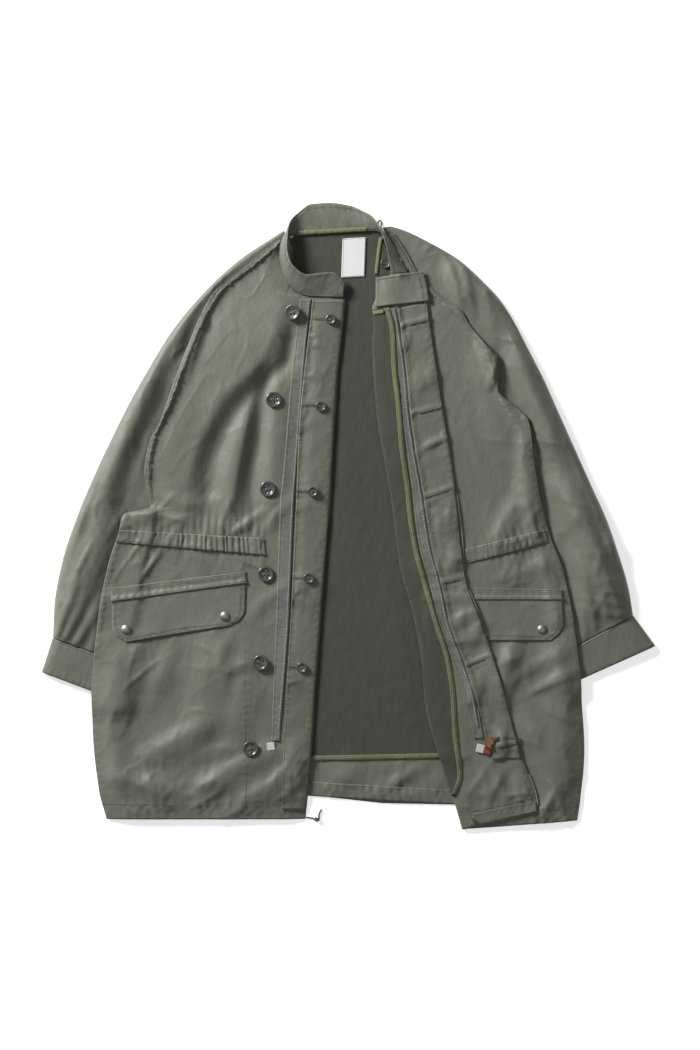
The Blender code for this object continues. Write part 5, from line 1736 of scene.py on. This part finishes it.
def add_tube(name, rows, cell, wall, folds, patches, left_hand, seams, seed):
    """A sleeve or cuff, open at its ends. left_hand says that its outer edge is on the left of the view."""
    down, over = pieces_grid(rows, cell, "outer", "inner")
    over_face, under_face = tube_points(rows, down, over, folds, patches, seed)
    ring = np.concatenate([under_face[:, ::-1], over_face[:, 1:]], axis=1)
    grids = [(ring, not left_hand)]
    made = add_cloth(name + "_cloth", grids, wall, "shell_sleeve", [name], seams, outward=-1)
    declare(ring)
    closed = np.sum(resampled(rows, down, "outer", "inner")["open"] < 0.3)
    work.pile.add(over_face[:closed])
    work.tops[name] = over_face if left_hand else over_face[:, ::-1]
    return over_face


class JACKET_OT_sleeves(JacketOperator):
    """Lays the sleeves and cuffs as flattened tubes"""

    bl_idname = "jacket.sleeves"
    bl_label = "Sleeves and cuffs"

    def make(self, sizes, colours):
        cell, wall, double = sizes.cell / MM, sizes.shell_wall / MM, sizes.double_wall / MM
        right = (SLEEVE_RIGHT_FOLDS, SLEEVE_RIGHT_PATCHES, True, (), 3)
        left = (SLEEVE_LEFT_FOLDS, SLEEVE_LEFT_PATCHES, False, (), 5)
        work.sleeve_faces = [
            add_tube("sleeve_right", SLEEVE_RIGHT, cell, wall, *right),
            add_tube("sleeve_left", SLEEVE_LEFT, cell, wall, *left),
        ]
        ends = (("first", 4), ("last", 3))
        add_tube("cuff_right", CUFF_RIGHT, 3, double, None, None, True, ends, 7)
        add_tube("cuff_left", CUFF_LEFT, 3, double, None, None, False, ends, 9)


def hem_rise(plan):
    """Moves the back panel's hem up to its own line, fading up the panel."""
    run = plan[..., 0] - plan[0, 0, 0]
    straight = plan[0, 0, 1] + (plan[0, -1, 1] - plan[0, 0, 1]) * run / np.ptp(plan[0, :, 0])
    up = np.clip((plan[..., 1] - straight) / BACK_HEM_FADE, 0, 1)
    plan[..., 1] += np.interp(plan[..., 0], BACK_HEM["x"], BACK_HEM["rise"]) * (1 - up) ** 2
    return plan


class JACKET_OT_back(JacketOperator):
    """Lays the back panel, its lining, hem, bindings and label"""

    bl_idname = "jacket.back"
    bl_label = "Back, lining and label"

    def make(self, sizes, colours):
        shell, lining, trim = sizes.shell_wall / MM, sizes.lining_wall / MM, sizes.trim_wall / MM
        plan = hem_rise(plan_of(BACK_PANEL, 120, 140))
        relief = folded(plan, BACK_FOLDS) + fanned(plan, BACK_FANS, 20) + crumpled(plan, BACK_PATCHES, 460)
        relief = np.maximum(relief, 0)
        relief *= np.clip(((plan[..., 0] + 80) / 20), 0, 1) * np.clip((180 - plan[..., 0]) / 20, 0, 1)
        lay("back_panel", plan, shell, "shell", relief)
        for face in work.sleeve_faces:
            work.pile.add(face)
        plan = plan_of(BACK_LINING, 190, 56)
        relief = np.maximum(folded(plan, LINING_FOLDS), 0) + rumpled(plan, 0.28, 31)
        lay("back_lining", plan, lining, "lining", relief)
        plan = plan_of(BACK_HEM_FOLD, 9, 90)
        relief = fanned(plan, BACK_FANS, 20) * 0.5
        lay("back_hem", plan, lining, "shell", relief, seams=(("last", 2),))
        for name, rows, over, upon in (
            ("lining_binding", LINING_BINDING, 90, "back_lining_cloth"),
            ("label", LABEL, 14, "back_lining_cloth"),
            ("neck_binding_left", NECK_BINDING_LEFT, 4, "sleeve_left_cloth"),
        ):
            finish = "label" if name == "label" else "binding"
            down = {"lining_binding": 4, "label": 22, "neck_binding_left": 20}[name]
            plan = plan_of(rows, down, over)
            relief = rumpled(plan, 0.25 if name == "label" else 0.12, 41)
            lay(name, plan, trim, finish, relief, seams=(("first", 1),))


def over_cuff(plan):
    """1 where a front lies on its cuff, and nought away from it."""
    return np.clip((-165 - plan[..., 1]) / 30, 0, 1) * np.clip((plan[..., 1] + 330) / 30, 0, 1)


class JACKET_OT_front_right(JacketOperator):
    """Lays the right front, its zip tape, placket, waist casing, pocket band and flap"""

    bl_idname = "jacket.front_right"
    bl_label = "Right front"

    def make(self, sizes, colours):
        shell, lining, trim = sizes.shell_wall / MM, sizes.lining_wall / MM, sizes.trim_wall / MM
        plan = plan_of(FRONT_RIGHT, *pieces_grid(FRONT_RIGHT, sizes.cell / MM))
        relief = folded(plan, FRONT_RIGHT_FOLDS) + fanned(plan, FRONT_RIGHT_FANS, 60)
        relief = relief + crumpled(plan, FRONT_RIGHT_PATCHES, 160) + rumpled(plan, 1.1, 61)
        relief = relief + edge_swell(plan, 5.0, 44.0)
        seams = (("first", 21), ("left", 3), ("line", ((246, 650), (246, 720), (247, 804))))
        relief = np.maximum(relief, 0)
        tent = over_cuff(plan)
        lay("front_right", plan, shell, "shell", relief, 18, seams=seams, tent=tent)

        plan = plan_of(ZIP_TAPE_RIGHT, 210, 7)
        lay("zip_tape_right", plan, trim, "zip_tape", 0.1, seams=(("left", 2.5),))
        plan = plan_of(PLACKET_RIGHT, 240, 17)
        relief = rumpled(plan, 0.6, 63) + crumpled(plan, PLACKET_PATCHES, 560)
        relief = relief + np.maximum(slit_creases(plan, PLACKET_HOLES), 0)
        lay("placket_right", plan, shell, "shell", relief, seams=(("left", 2), ("right", 3)))

        at = resampled(CASING_RIGHT, 9)
        shares = np.linspace(0, 1, 260)
        plan = [at["left_" + a][:, None] * (1 - shares) + at["right_" + a][:, None] * shares for a in "xy"]
        plan = np.stack(plan, -1)
        wave = gather_wave(shares, CASING_RIGHT_GATHERS, 71) + 0.12
        ends = (("first", 2), ("last", 2))
        lay("casing_right", plan, lining, "shell", np.tile(wave, (9, 1)), 0, 0, ends)
        plan = plan_of(FLAP_RIGHT, 26, 70)
        relief = edge_swell(plan, 0.8, 14.0) + rumpled(plan, 0.35, 73)
        seams = (("first", 6), ("left", 6), ("right", 6))
        lay("flap_right", plan, shell, "shell", relief, 6, seams=seams)
        plan = plan_of(BAND_RIGHT, 8, 70)
        relief = rumpled(plan, 0.2, 75)
        lay("band_right", plan, lining, "shell", relief, seams=ends)


def strip_plan(lower, over):
    """The folded strip's plan, on the same rows as the front below it."""
    share = across(over, 0.25)
    plan = np.empty((len(lower), over, 2))
    start = lower[:, 0, :2]
    for k, axis in enumerate("xy"):
        end = smooth(STRIP_EDGE["from_y"], STRIP_EDGE[axis], start[:, 1])
        plan[..., k] = start[:, k, None] + (end - start[:, k])[:, None] * share
    return plan


class JACKET_OT_front_left(JacketOperator):
    """Lays the left front with its edge folded open, and everything sewn to that edge"""

    bl_idname = "jacket.front_left"
    bl_label = "Left front"

    def make(self, sizes, colours):
        shell, lining, trim = sizes.shell_wall / MM, sizes.lining_wall / MM, sizes.trim_wall / MM
        pile = work.pile
        lower_plan = plan_of(FRONT_LEFT, *pieces_grid(FRONT_LEFT, sizes.cell / MM))
        lower_plan[:, 0, 0] += FOLD_REACH
        relief = folded(lower_plan, FRONT_LEFT_FOLDS) + fanned(lower_plan, FRONT_LEFT_FANS, 80)
        relief = relief + crumpled(lower_plan, FRONT_LEFT_PATCHES, 260) + rumpled(lower_plan, 1.1, 81)
        relief = relief + edge_swell(lower_plan, 3.5, 40.0)
        lower = pile.rest(lower_plan, np.maximum(relief, 0), 18, over_cuff(lower_plan))
        top = lower + normals(lower) * shell
        pile.add(top)
        work.tops["front_left"] = top

        on, ends = ["front_left_cloth"], (("first", 2), ("last", 2))
        at = resampled(CASING_LEFT, 9)
        shares = np.linspace(0, 1, 200)
        plan = [at["left_" + a][:, None] * (1 - shares) + at["right_" + a][:, None] * shares for a in "xy"]
        plan = np.stack(plan, -1)
        wave = gather_wave(shares, CASING_LEFT_GATHERS, 82) + 0.12
        lay("casing_left", plan, lining, "shell", np.tile(wave, (9, 1)), 0, 0, ends)
        plan = plan_of(FLAP_LEFT, 26, 70)
        relief = edge_swell(plan, 0.8, 14.0) + rumpled(plan, 0.35, 83)
        lay("flap_left", plan, shell, "shell", relief, 6, 0, (("first", 6), ("right", 6)))
        plan = plan_of(BAND_LEFT, 8, 70)
        relief = rumpled(plan, 0.2, 84)
        lay("band_left", plan, lining, "shell", relief, 0, 0, ends)

        rows = int(np.sum(lower[:, 0, 1] <= STRIP_EDGE["from_y"][-1] + 0.5))
        upper_plan = strip_plan(lower[:rows], 34)
        near_fold = np.clip(1 - (upper_plan[..., 0] - upper_plan[:, :1, 0]) / 30, 0, 1)
        relief = near_fold * (FOLD_ROLL - 2 * shell) + np.maximum(folded(upper_plan, STRIP_FOLDS), 0)
        free = np.clip((upper_plan[..., 0] - upper_plan[:, :1, 0]) / 12, 0, 1)
        relief += 1.4 * crumpled(upper_plan, STRIP_PATCHES, 360) * free
        upper = pile.rest(upper_plan, relief + rumpled(upper_plan, 0.45, 85) * free, 8)
        upper[..., 2] += shell
        pile.add(upper)
        work.tops["strip"] = upper
        turns = np.linspace(0, math.pi, 13)
        start, end = lower[:rows, 0], upper[:, 0]
        middle, half = (start[:, 2] + end[:, 2]) / 2, (end[:, 2] - start[:, 2]) / 2
        roll = np.empty((rows, len(turns), 3))
        for j, turn in enumerate(turns):
            share = j / (len(turns) - 1)
            roll[:, j, :2] = start[:, :2] * (1 - share) + end[:, :2] * share
            roll[:, j, 0] -= FOLD_REACH * math.sin(turn)
            roll[:, j, 2] = middle - half * math.cos(turn)
        strip = np.concatenate([roll, upper[:, 1:]], axis=1)
        seams = (("first", 21), ("right", 3))
        grids = [(lower, False), (strip, True)]
        made = add_cloth("front_left_cloth", grids, shell, "shell", ["front_left"], seams, "left")
        over, down, area = (a + b for a, b in zip(cloth_size(lower), cloth_size(strip)))
        down = cloth_size(lower)[1]
        # the roll's lining is painted shade: a darker copy of the lining
        made.data.materials.append(work.finishes["lining_roll_shade"])
        self.line_roll(made.data, lower.shape, strip.shape[1])

        plan = plan_of(FACING_LEFT, 210, 16)
        lay("facing_left", plan, lining, "lining", rumpled(plan, 0.25, 86))
        plan = plan_of(ZIP_TAPE_LEFT, 210, 9)
        relief = rumpled(plan, 0.1, 87)
        lay("zip_tape_left", plan, trim, "zip_tape", relief, seams=(("left", 2),))
        plan = plan_of(FACING_BINDING, 220, 5)
        seams = (("left", 1.2), ("right", 1.2))
        relief, facing = rumpled(plan, 0.1, 88), ["facing_left_cloth"]
        lay("facing_binding", plan, trim, "binding", relief, seams=seams)
        plan = plan_of(BINDING_TOP, 4, 10)
        lay("binding_top", plan, trim, "binding", 0.1, new=True)
        plan = plan_of(FLY_LEFT, 230, 18)
        relief = rumpled(plan, 0.7, 89) + np.maximum(slit_creases(plan, FLY_HOLES), 0)
        seams = (("left", 2), ("right", 3))
        lay("fly_left", plan, lining, "shell", relief, seams=seams)
        plan = plan_of(STRIP_HEM_FOLD, 10, 44)
        relief = rumpled(plan, 0.3, 90)
        lay("strip_hem", plan, lining, "shell", relief, seams=(("last", 2),))

    def line_roll(self, mesh, lower, wide):
        """Gives the fold's roll the lining that turns round it, apart from its ends, in a darker copy of the lining
        that is painted shade.
        """
        first = (lower[0] - 1) * (lower[1] - 1)
        for face in mesh.polygons[first:]:
            y = face.center.y / MM
            if (face.index - first) % (wide - 1) < ROLL_POINTS and ROLL_ENDS[0] < y < ROLL_ENDS[1]:
                face.material_index = 1


class JACKET_OT_collar(JacketOperator):
    """Stands the collar round the neck, and lays its folded end and the neck's binding"""

    bl_idname = "jacket.collar"
    bl_label = "Collar"

    def make(self, sizes, colours):
        double, trim = sizes.double_wall / MM, sizes.trim_wall / MM
        down, over = 170, 16
        knots = stations(COLLAR, "base", "rim")
        at = {name: smooth(knots, values, np.linspace(0, 1, down)) for name, values in COLLAR.items()}
        shares = np.linspace(0, 1, over)
        base = np.stack([at["base_" + axis] for axis in "xyz"], 1)[:, None]
        rim = np.stack([at["rim_" + axis] for axis in "xyz"], 1)[:, None]
        points = base + (rim - base) * shares[None, :, None]
        ease = np.sin(shares * math.pi) * 1.5
        creases = noise_over(points[..., :2], 9, 96, 2.0, 60) * 0.7 * np.sin(shares * math.pi)
        points[..., 2] += ease + creases
        clear = work.pile.rest(points[..., :2], 0.0)[..., 2] + 0.3
        points[..., 2] = np.maximum(points[..., 2], clear)
        seams = (("left", 2), ("right", 5))
        made = add_cloth("collar_cloth", [(points, False)], double, "shell", ["collar"], seams)
        declare(points)
        work.tops["collar"] = points + normals(points) * double
        work.pile.add(points + np.array([0, 0, double]))
        plan = plan_of(NECK_BINDING, 4, 60)
        lay("neck_binding", plan, trim, "binding", 0.0, seams=(("first", 1),))
        plan = plan_of(COLLAR_END, 22, 34)
        creases = np.maximum(folded(plan, COLLAR_END_FOLDS), 0)
        relief = edge_swell(plan, 0.8, 18.0) + creases + rumpled(plan, 0.3, 97)
        seams = (("last", 4), ("right", 7))
        lay("collar_left_end", plan, double, "shell", relief, 8, 60, seams)


def turned(profile, diameter, height, steps):
    """The points and faces of a half profile turned about its own axis, in millimetres."""
    rings = [(r * diameter / 2, z * height) for r, z in profile[1:-1]]
    turns = np.linspace(0, 2 * math.pi, steps, endpoint=False)
    points = [(0.0, 0.0, profile[0][1] * height)]
    for radius, z in rings:
        points += [(radius * math.cos(a), radius * math.sin(a), z) for a in turns]
    points.append((0.0, 0.0, profile[-1][1] * height))
    last, low = len(points) - 1, len(points) - 1 - steps
    faces = []
    for k in range(steps):
        n = (k + 1) % steps
        faces += [(0, 1 + n, 1 + k), (last, low + k, low + n)]
        for ring in range(len(rings) - 1):
            a, b = 1 + ring * steps, 1 + (ring + 1) * steps
            faces.append((a + k, a + n, b + n, b + k))
    return np.array(points), faces


def button_mesh(name, diameter, height, steps):
    """A four-hole button with a raised rim."""
    points, faces = turned(BUTTON_PROFILE, diameter, height, steps)
    mesh = bpy.data.meshes.new(name)
    mesh.from_pydata((points * MM).tolist(), [], faces)
    body = bpy.data.objects.new(name, mesh)
    bpy.context.scene.collection.objects.link(body)
    drill_mesh = bpy.data.meshes.new(name + "_drills")
    bm = bmesh.new()
    radius, off = 0.085 * diameter * MM / 1.35, 0.15 * diameter * MM
    drill = {"cap_ends": True, "segments": 16, "radius1": radius, "radius2": radius, "depth": 0.02}
    for x in (-off, off):
        for y in (-off, off):
            bmesh.ops.create_cone(bm, matrix=Matrix.Translation((x / 1.3, y / 1.3, 0)), **drill)
    bm.to_mesh(drill_mesh)
    bm.free()
    drills = bpy.data.objects.new(name + "_drills", drill_mesh)
    bpy.context.scene.collection.objects.link(drills)
    cut = body.modifiers.new("holes", "BOOLEAN")
    cut.operation, cut.solver, cut.object = "DIFFERENCE", "EXACT", drills
    bpy.context.view_layer.update()
    drilled = bpy.data.meshes.new_from_object(body.evaluated_get(bpy.context.evaluated_depsgraph_get()))
    for helper in (body, drills):
        bpy.data.objects.remove(helper)
    drilled.shade_smooth()
    return drilled


def seated(x, y, radius, tip, names):
    """The height of a round piece's foot on the cloth at its given tilt, so that it touches and cuts nothing."""
    turn = Matrix.Rotation(math.radians(tip), 3, "Y")
    lift = 0.0
    for share in (0.0, 0.55, 0.82):
        for a in np.linspace(0, 2 * math.pi, 12, endpoint=False):
            foot = turn @ Vector((share * radius * math.cos(a), share * radius * math.sin(a), 0))
            lift = max(lift, work.height(x + foot.x, y + foot.y, names) - foot.z)
    return lift + 0.12


class JACKET_OT_fastenings(JacketOperator):
    """Puts on the buttons with their thread, and the snaps"""

    bl_idname = "jacket.fastenings"
    bl_label = "Buttons and snaps"

    def make(self, sizes, colours):
        right = ["front_right", "zip_tape_right", "placket_right"]
        big = button_mesh("button_big", sizes.big_button / MM, 3.6, sizes.button_steps)
        small = button_mesh("button_small", sizes.small_button / MM, 3.0, sizes.button_steps)
        for i, (x, y, tip) in enumerate(zip(*BIG_BUTTONS.values()), 1):
            self.button(f"button_big_{i}", big, sizes.big_button / MM, 3.6, x, y, tip, right, i)
        for i, (x, y, tip) in enumerate(zip(*SMALL_BUTTONS.values()), 1):
            self.button(f"button_small_{i}", small, sizes.small_button / MM, 3.0, x, y, tip, right, i + 3)
        x, y = COLLAR_BUTTON
        under = ["back_lining", "back_panel", "sleeve_left", "neck_binding_left"]
        self.button("collar_button", small, sizes.small_button / MM, 3.0, x, y, 0, under, 2)
        names = ["front_right", "flap_right", "flap_left", "front_left"]
        for i, (x, y) in enumerate(zip(*SNAPS.values()), 1):
            points, faces = turned(SNAP_PROFILE, sizes.snap / MM, 3.4, sizes.button_steps)
            points = points + (x, y, seated(x, y, sizes.snap / MM / 2, 0, names))
            cap = mesh_from(f"snap_{i}_cap", points, faces)
            add_piece(f"snap_{i}_cap", cap, "snap", JACKET, [f"snap_{i}"])

    def button(self, name, mesh, diameter, height, x, y, tip, names, seed):
        z = seated(x, y, diameter / 2, tip, names)
        twist = (seed * 37 % 60) - 30
        turn = Matrix.Rotation(math.radians(tip), 4, "Y") @ Matrix.Rotation(math.radians(twist), 4, "Z")
        place = Matrix.Translation(Vector((x + CENTRING, y, z)) * MM) @ turn
        own = mesh.copy()
        own.transform(place)
        add_piece(name + "_turned", own, "button", JACKET, [name])
        off = 0.15 * diameter / 1.3
        lines = []
        for side in (-off, off):
            ends = [Vector((side, -off, 0.56 * height)), Vector((side, off, 0.56 * height))]
            moved = [place @ (end * MM) / MM - Vector((CENTRING, 0, 0)) for end in ends]
            lines += [np.array(moved) + (aside, 0, 0) for aside in (-0.3, 0.3)]
        points, faces = [], []
        for line in lines:
            way, middle = line[1] - line[0], line.mean(0)
            short = np.array([middle - way * 0.01, middle + way * 0.01])
            made, around = beads(short, 99, np.linalg.norm(way) + 1, 0.62, 0.7)
            faces += [tuple(i + 12 * len(points) for i in face) for face in around if max(face) < 12]
            points.append(made[:12])
        mesh_of = mesh_from(name + "_thread", np.concatenate(points), faces)
        add_piece(name + "_thread", mesh_of, "thread")


class JACKET_OT_zip(JacketOperator):
    """Sets the zip's teeth on its tapes"""

    bl_idname = "jacket.zip"
    bl_label = "Zip teeth"

    def make(self, sizes, colours):
        pitch = sizes.tooth_pitch / MM
        for side, inset, start in (("right", 2.2, 0.03), ("left", 0.0, 0.03)):
            name = "zip_tape_" + side
            line = line_on(name, "right", inset if side == "right" else 6.0, start, 0.995)
            add_beads(f"zip_teeth_{side}", [line], "teeth", pitch, 4.2, 1.5, 1.3, True, 0.2)


# piece, side of it, millimetres in from that side, and the share of the side where it starts and ends
SEAMS = (
    ("front_right", "first", 21, 0, 0.97),
    ("front_right", "first", 2.5, 0, 1),
    ("front_right", "left", 3, 0.74, 0.98),
    ("front_right", "left", 9, 0.74, 0.98),
    ("placket_right", "right", 3, 0, 1),
    ("placket_right", "left", 2, 0, 1),
    ("placket_right", "last", 3, 0, 1),
    ("zip_tape_right", "left", 2.5, 0, 1),
    ("casing_right", "first", 2, 0, 1),
    ("casing_right", "last", 2, 0, 1),
    ("casing_right", "right", 2, 0, 1),
    ("flap_right", "first", 6, 0.04, 0.96),
    ("flap_right", "left", 6, 0.16, 1),
    ("flap_right", "right", 6, 0.16, 1),
    ("flap_right", "first", 1.5, 0, 1),
    ("band_right", "first", 1.5, 0, 1),
    ("band_right", "last", 1.5, 0, 1),
    ("front_left", "first", 21, 0.5, 1),
    ("casing_left", "first", 2, 0.15, 1),
    ("casing_left", "last", 2, 0.15, 1),
    ("flap_left", "first", 6, 0.3, 0.96),
    ("flap_left", "right", 6, 0.16, 1),
    ("flap_left", "first", 1.5, 0.3, 1),
    ("band_left", "first", 1.5, 0.3, 1),
    ("band_left", "last", 1.5, 0.3, 1),
    ("strip", "right", 3, 0, 1),
    ("facing_binding", "left", 1.2, 0, 1),
    ("facing_binding", "right", 1.2, 0, 1),
    ("zip_tape_left", "left", 2, 0, 1),
    ("fly_left", "left", 2, 0, 1),
    ("fly_left", "right", 3, 0, 1),
    ("strip_hem", "last", 2, 0, 1),
    ("back_hem", "last", 2, 0, 1),
    ("lining_binding", "first", 1.2, 0, 1),
    ("lining_binding", "last", 1.2, 0, 1),
    ("neck_binding", "first", 1.2, 0, 1),
    ("label", "first", 1.2, 0, 1),
    ("label", "last", 1.2, 0, 1),
    ("label", "left", 1.2, 0, 1),
    ("label", "right", 1.2, 0, 1),
    ("collar", "right", 5, 0, 1),
    ("collar", "left", 2, 0, 1),
    ("collar_left_end", "last", 4, 0, 1),
    ("collar_left_end", "right", 7, 0, 1),
    ("cuff_right", "first", 4, 0, 1),
    ("cuff_right", "last", 3, 0, 1),
    ("cuff_left", "first", 4, 0, 1),
    ("cuff_left", "last", 3, 0, 1),
)


class JACKET_OT_sewing(JacketOperator):
    """Sews the topstitching and the buttonholes"""

    bl_idname = "jacket.sewing"
    bl_label = "Sewing"

    def make(self, sizes, colours):
        groups = {}
        for piece, side, inset, start, end in SEAMS:
            groups.setdefault(piece, []).append(line_on(piece, side, inset, start, end))
        front = ["front_right"]
        groups["front_right"].append(dropped(((246, 650), (246, 720), (247, 802)), front))
        groups["collar"].append(dropped(((344, 208), (345, 217), (346, 225)), ["collar"]))
        groups["back_panel"] = [dropped(((318, 762), (318, 776), (319, 792)), ["back_panel", "back_hem"])]
        groups["strip"].append(dropped(((464, 775), (468, 792), (472, 808)), ["strip", "strip_hem"]))
        for piece, lines in groups.items():
            add_stitches(piece + "_stitches", lines)
        self.holes("placket_buttonholes", PLACKET_HOLES, ["placket_right"])
        self.holes("fly_buttonholes", FLY_HOLES, ["fly_left", "strip"])

    def holes(self, name, rows, names):
        """Worked buttonholes: close stitches round each, with dark bars along the slit that are painted shade."""
        lines, slits = [], []
        for x, y, end_x, end_y, _ in zip(*rows.values()):
            start, end = np.array(on_plan(x, y)), np.array(on_plan(end_x, end_y))
            way = (end - start) / np.linalg.norm(end - start)
            aside = np.array([-way[1], way[0]])
            ring = []
            for a in np.linspace(0, 2 * math.pi, 40):
                middle = end if math.cos(a) > 0 else start
                ring.append(middle + way * 1.1 * math.cos(a) + aside * 1.3 * math.sin(a))
            lines.append(np.array([(*p, work.height(*p, names)) for p in evenly(np.array(ring), 1.0)]))
            slit = evenly(np.array([start, end]), 1.5)
            slits.append(np.array([(*p, work.height(*p, names)) for p in slit]))
        add_beads(name, lines, "thread", 0.9, 1.5, 0.8, 0.7, True)
        add_beads(name + "_slits", slits, "slit_shade", 1.4, 1.9, 1.1, 0.3)


class JACKET_OT_piping(JacketOperator):
    """Sets the pale piping that shows along the folded strip's free edge"""

    bl_idname = "jacket.piping"
    bl_label = "Edge piping"

    def make(self, sizes, colours):
        edge = work.tops["strip"][:, -1]
        for number, (low, high) in enumerate(((-175, 38), (-418, -372)), 1):
            own = edge[(edge[:, 1] > low) & (edge[:, 1] < high)][::4] + (0.7, 0, -0.2)
            add_cord(f"strip_piping_{number}", own, 1.7, "piping", JACKET, ())


class JACKET_OT_cords(JacketOperator):
    """Ties the hem's drawstring, the hanging loop and the cord on the zip's pull"""

    bl_idname = "jacket.cords"
    bl_label = "Cords"

    def make(self, sizes, colours):
        thick = sizes.hem_cord / MM
        route = np.concatenate([rows_of(rows) for rows in (HEM_CORD_IN, HEM_CORD_KNOT, HEM_CORD_TAIL)])
        route[:, 2] = np.maximum(route[:, 2], thick / 2 + 0.05)
        at, size = (-47.6, -439.6, 3.4), (3.6, 3.8, 3.2)
        knot = add_knot("hem_knot_right", at, size, 1.9, "cord", JACKET, ["hem_cord_knot"])
        string = add_cord("hem_drawstring", route, thick, "cord", JACKET, ["hem_cord", "hem_cord_tail"])
        length = np.linalg.norm(np.diff(curve_through(route), axis=0), axis=1).sum() * MM
        at, size = (177.6, -438.0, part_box("hem_knot_left")[0][2] / MM + 2.6), (3.2, 3.4, 2.6)
        add_knot("hem_knot_eyelet", at, size, 1.7, "cord", JACKET, ["hem_knot_left"])
        add_cord("hanging_loop_cord", rows_of(HANGING_LOOP), 2.2, "cord", JACKET, ["hanging_loop"])

        way = Vector((*PULL_WAY, 0)).normalized()
        aside = Vector((-way.y, way.x, 0))
        x, y = PULL_KNOT_AT[:2]

        def placed(along, across_it, height):
            return (x + way.x * along + aside.x * across_it, y + way.y * along + aside.y * across_it, height)

        near = [placed(*row) for row in rows_of(PULL_CORD_RUN)]
        far = [placed(along, -across_it, height) for along, across_it, height in rows_of(PULL_CORD_RUN)][::-1]
        thick = sizes.pull_cord / MM
        loop = np.array(near + far)
        cord = add_cord("pull_cord_loop", loop, thick, "cord", PULL, ["pull_cord"])
        knot = add_knot("pull_cord_knot", PULL_KNOT_AT, (2.2, 2.8, 1.9), 1.3, "cord", PULL, ["pull_knot"])
        ring = [placed(a, 0, h) for a, h in rows_of(PULL_EYE_RUN)]
        eye = add_cord("pull_cord_eye", ring, thick, "cord", PULL, ["pull_eye"])
        length = np.linalg.norm(np.diff(curve_through(loop), axis=0), axis=1).sum() * MM


class JACKET_OT_stage(JacketOperator):
    """Sets the floor, the light and the camera over the jacket"""

    bl_idname = "jacket.stage"
    bl_label = "Stage"

    def make(self, sizes, colours):
        scene = bpy.context.scene
        floor_finish("floor", colours.floor)
        mesh = bpy.data.meshes.new("floor")
        sides = ((-1, -1), (1, -1), (1, 1), (-1, 1))
        corners = [(x * FLOOR_REACH, y * FLOOR_REACH, FLOOR_HEIGHT) for x, y in sides]
        mesh.from_pydata(corners, [], [(0, 1, 2, 3)])
        mesh.materials.append(work.finishes["floor"])
        floor = bpy.data.objects.new("floor", mesh)
        scene.collection.objects.link(floor)
        camera = bpy.data.cameras.new("camera")
        camera.lens, camera.sensor_fit = CAMERA_LENS, "VERTICAL"
        camera.sensor_width = camera.sensor_height = CAMERA_SENSOR
        eye = bpy.data.objects.new("camera", camera)
        eye.location = CAMERA_AT
        scene.collection.objects.link(eye)
        scene.camera = eye
        for name, energy, size, at in LIGHTS:
            light = bpy.data.lights.new(name, "AREA")
            light.energy, light.size = energy, size
            lamp = bpy.data.objects.new(name, light)
            lamp.location = at
            lamp.rotation_euler = Vector(at).to_track_quat("Z", "Y").to_euler()
            scene.collection.objects.link(lamp)
        world = bpy.data.worlds.new("studio")
        world.use_nodes = True
        world.node_tree.nodes["Background"].inputs["Color"].default_value = (1, 1, 1, 1)
        world.node_tree.nodes["Background"].inputs["Strength"].default_value = SKY_STRENGTH
        scene.world = world
        scene.view_settings.view_transform = "Standard"


class JACKET_PT_panel(bpy.types.Panel):
    """Lists the jacket's sizes, colours and pieces"""

    bl_label = "Field jacket"
    bl_space_type = "VIEW_3D"
    bl_region_type = "UI"
    bl_category = "Jacket"

    def draw(self, context):
        for group in (context.scene.jacket_sizes, context.scene.jacket_colours):
            box = self.layout.box()
            for key in type(group).__annotations__:
                box.prop(group, key)
        for step in STEPS:
            self.layout.operator(step.bl_idname)


STEPS = (
    JACKET_OT_finishes,
    JACKET_OT_stage,
    JACKET_OT_cords,
    JACKET_OT_sleeves,
    JACKET_OT_back,
    JACKET_OT_front_right,
    JACKET_OT_front_left,
    JACKET_OT_collar,
    JACKET_OT_zip,
    JACKET_OT_fastenings,
    JACKET_OT_piping,
    JACKET_OT_sewing,
)
CLASSES = (JacketSizes, JacketColours, *STEPS, JACKET_PT_panel)


def register():
    for cls in CLASSES:
        bpy.utils.register_class(cls)
    bpy.types.Scene.jacket_sizes = PointerProperty(type=JacketSizes)
    bpy.types.Scene.jacket_colours = PointerProperty(type=JacketColours)


def unregister():
    del bpy.types.Scene.jacket_sizes, bpy.types.Scene.jacket_colours
    for cls in reversed(CLASSES):
        bpy.utils.unregister_class(cls)


def main():
    register()
    for step in STEPS:
        group, name = step.bl_idname.split(".")
        getattr(getattr(bpy.ops, group), name)()


if __name__ == "__main__":
    main()
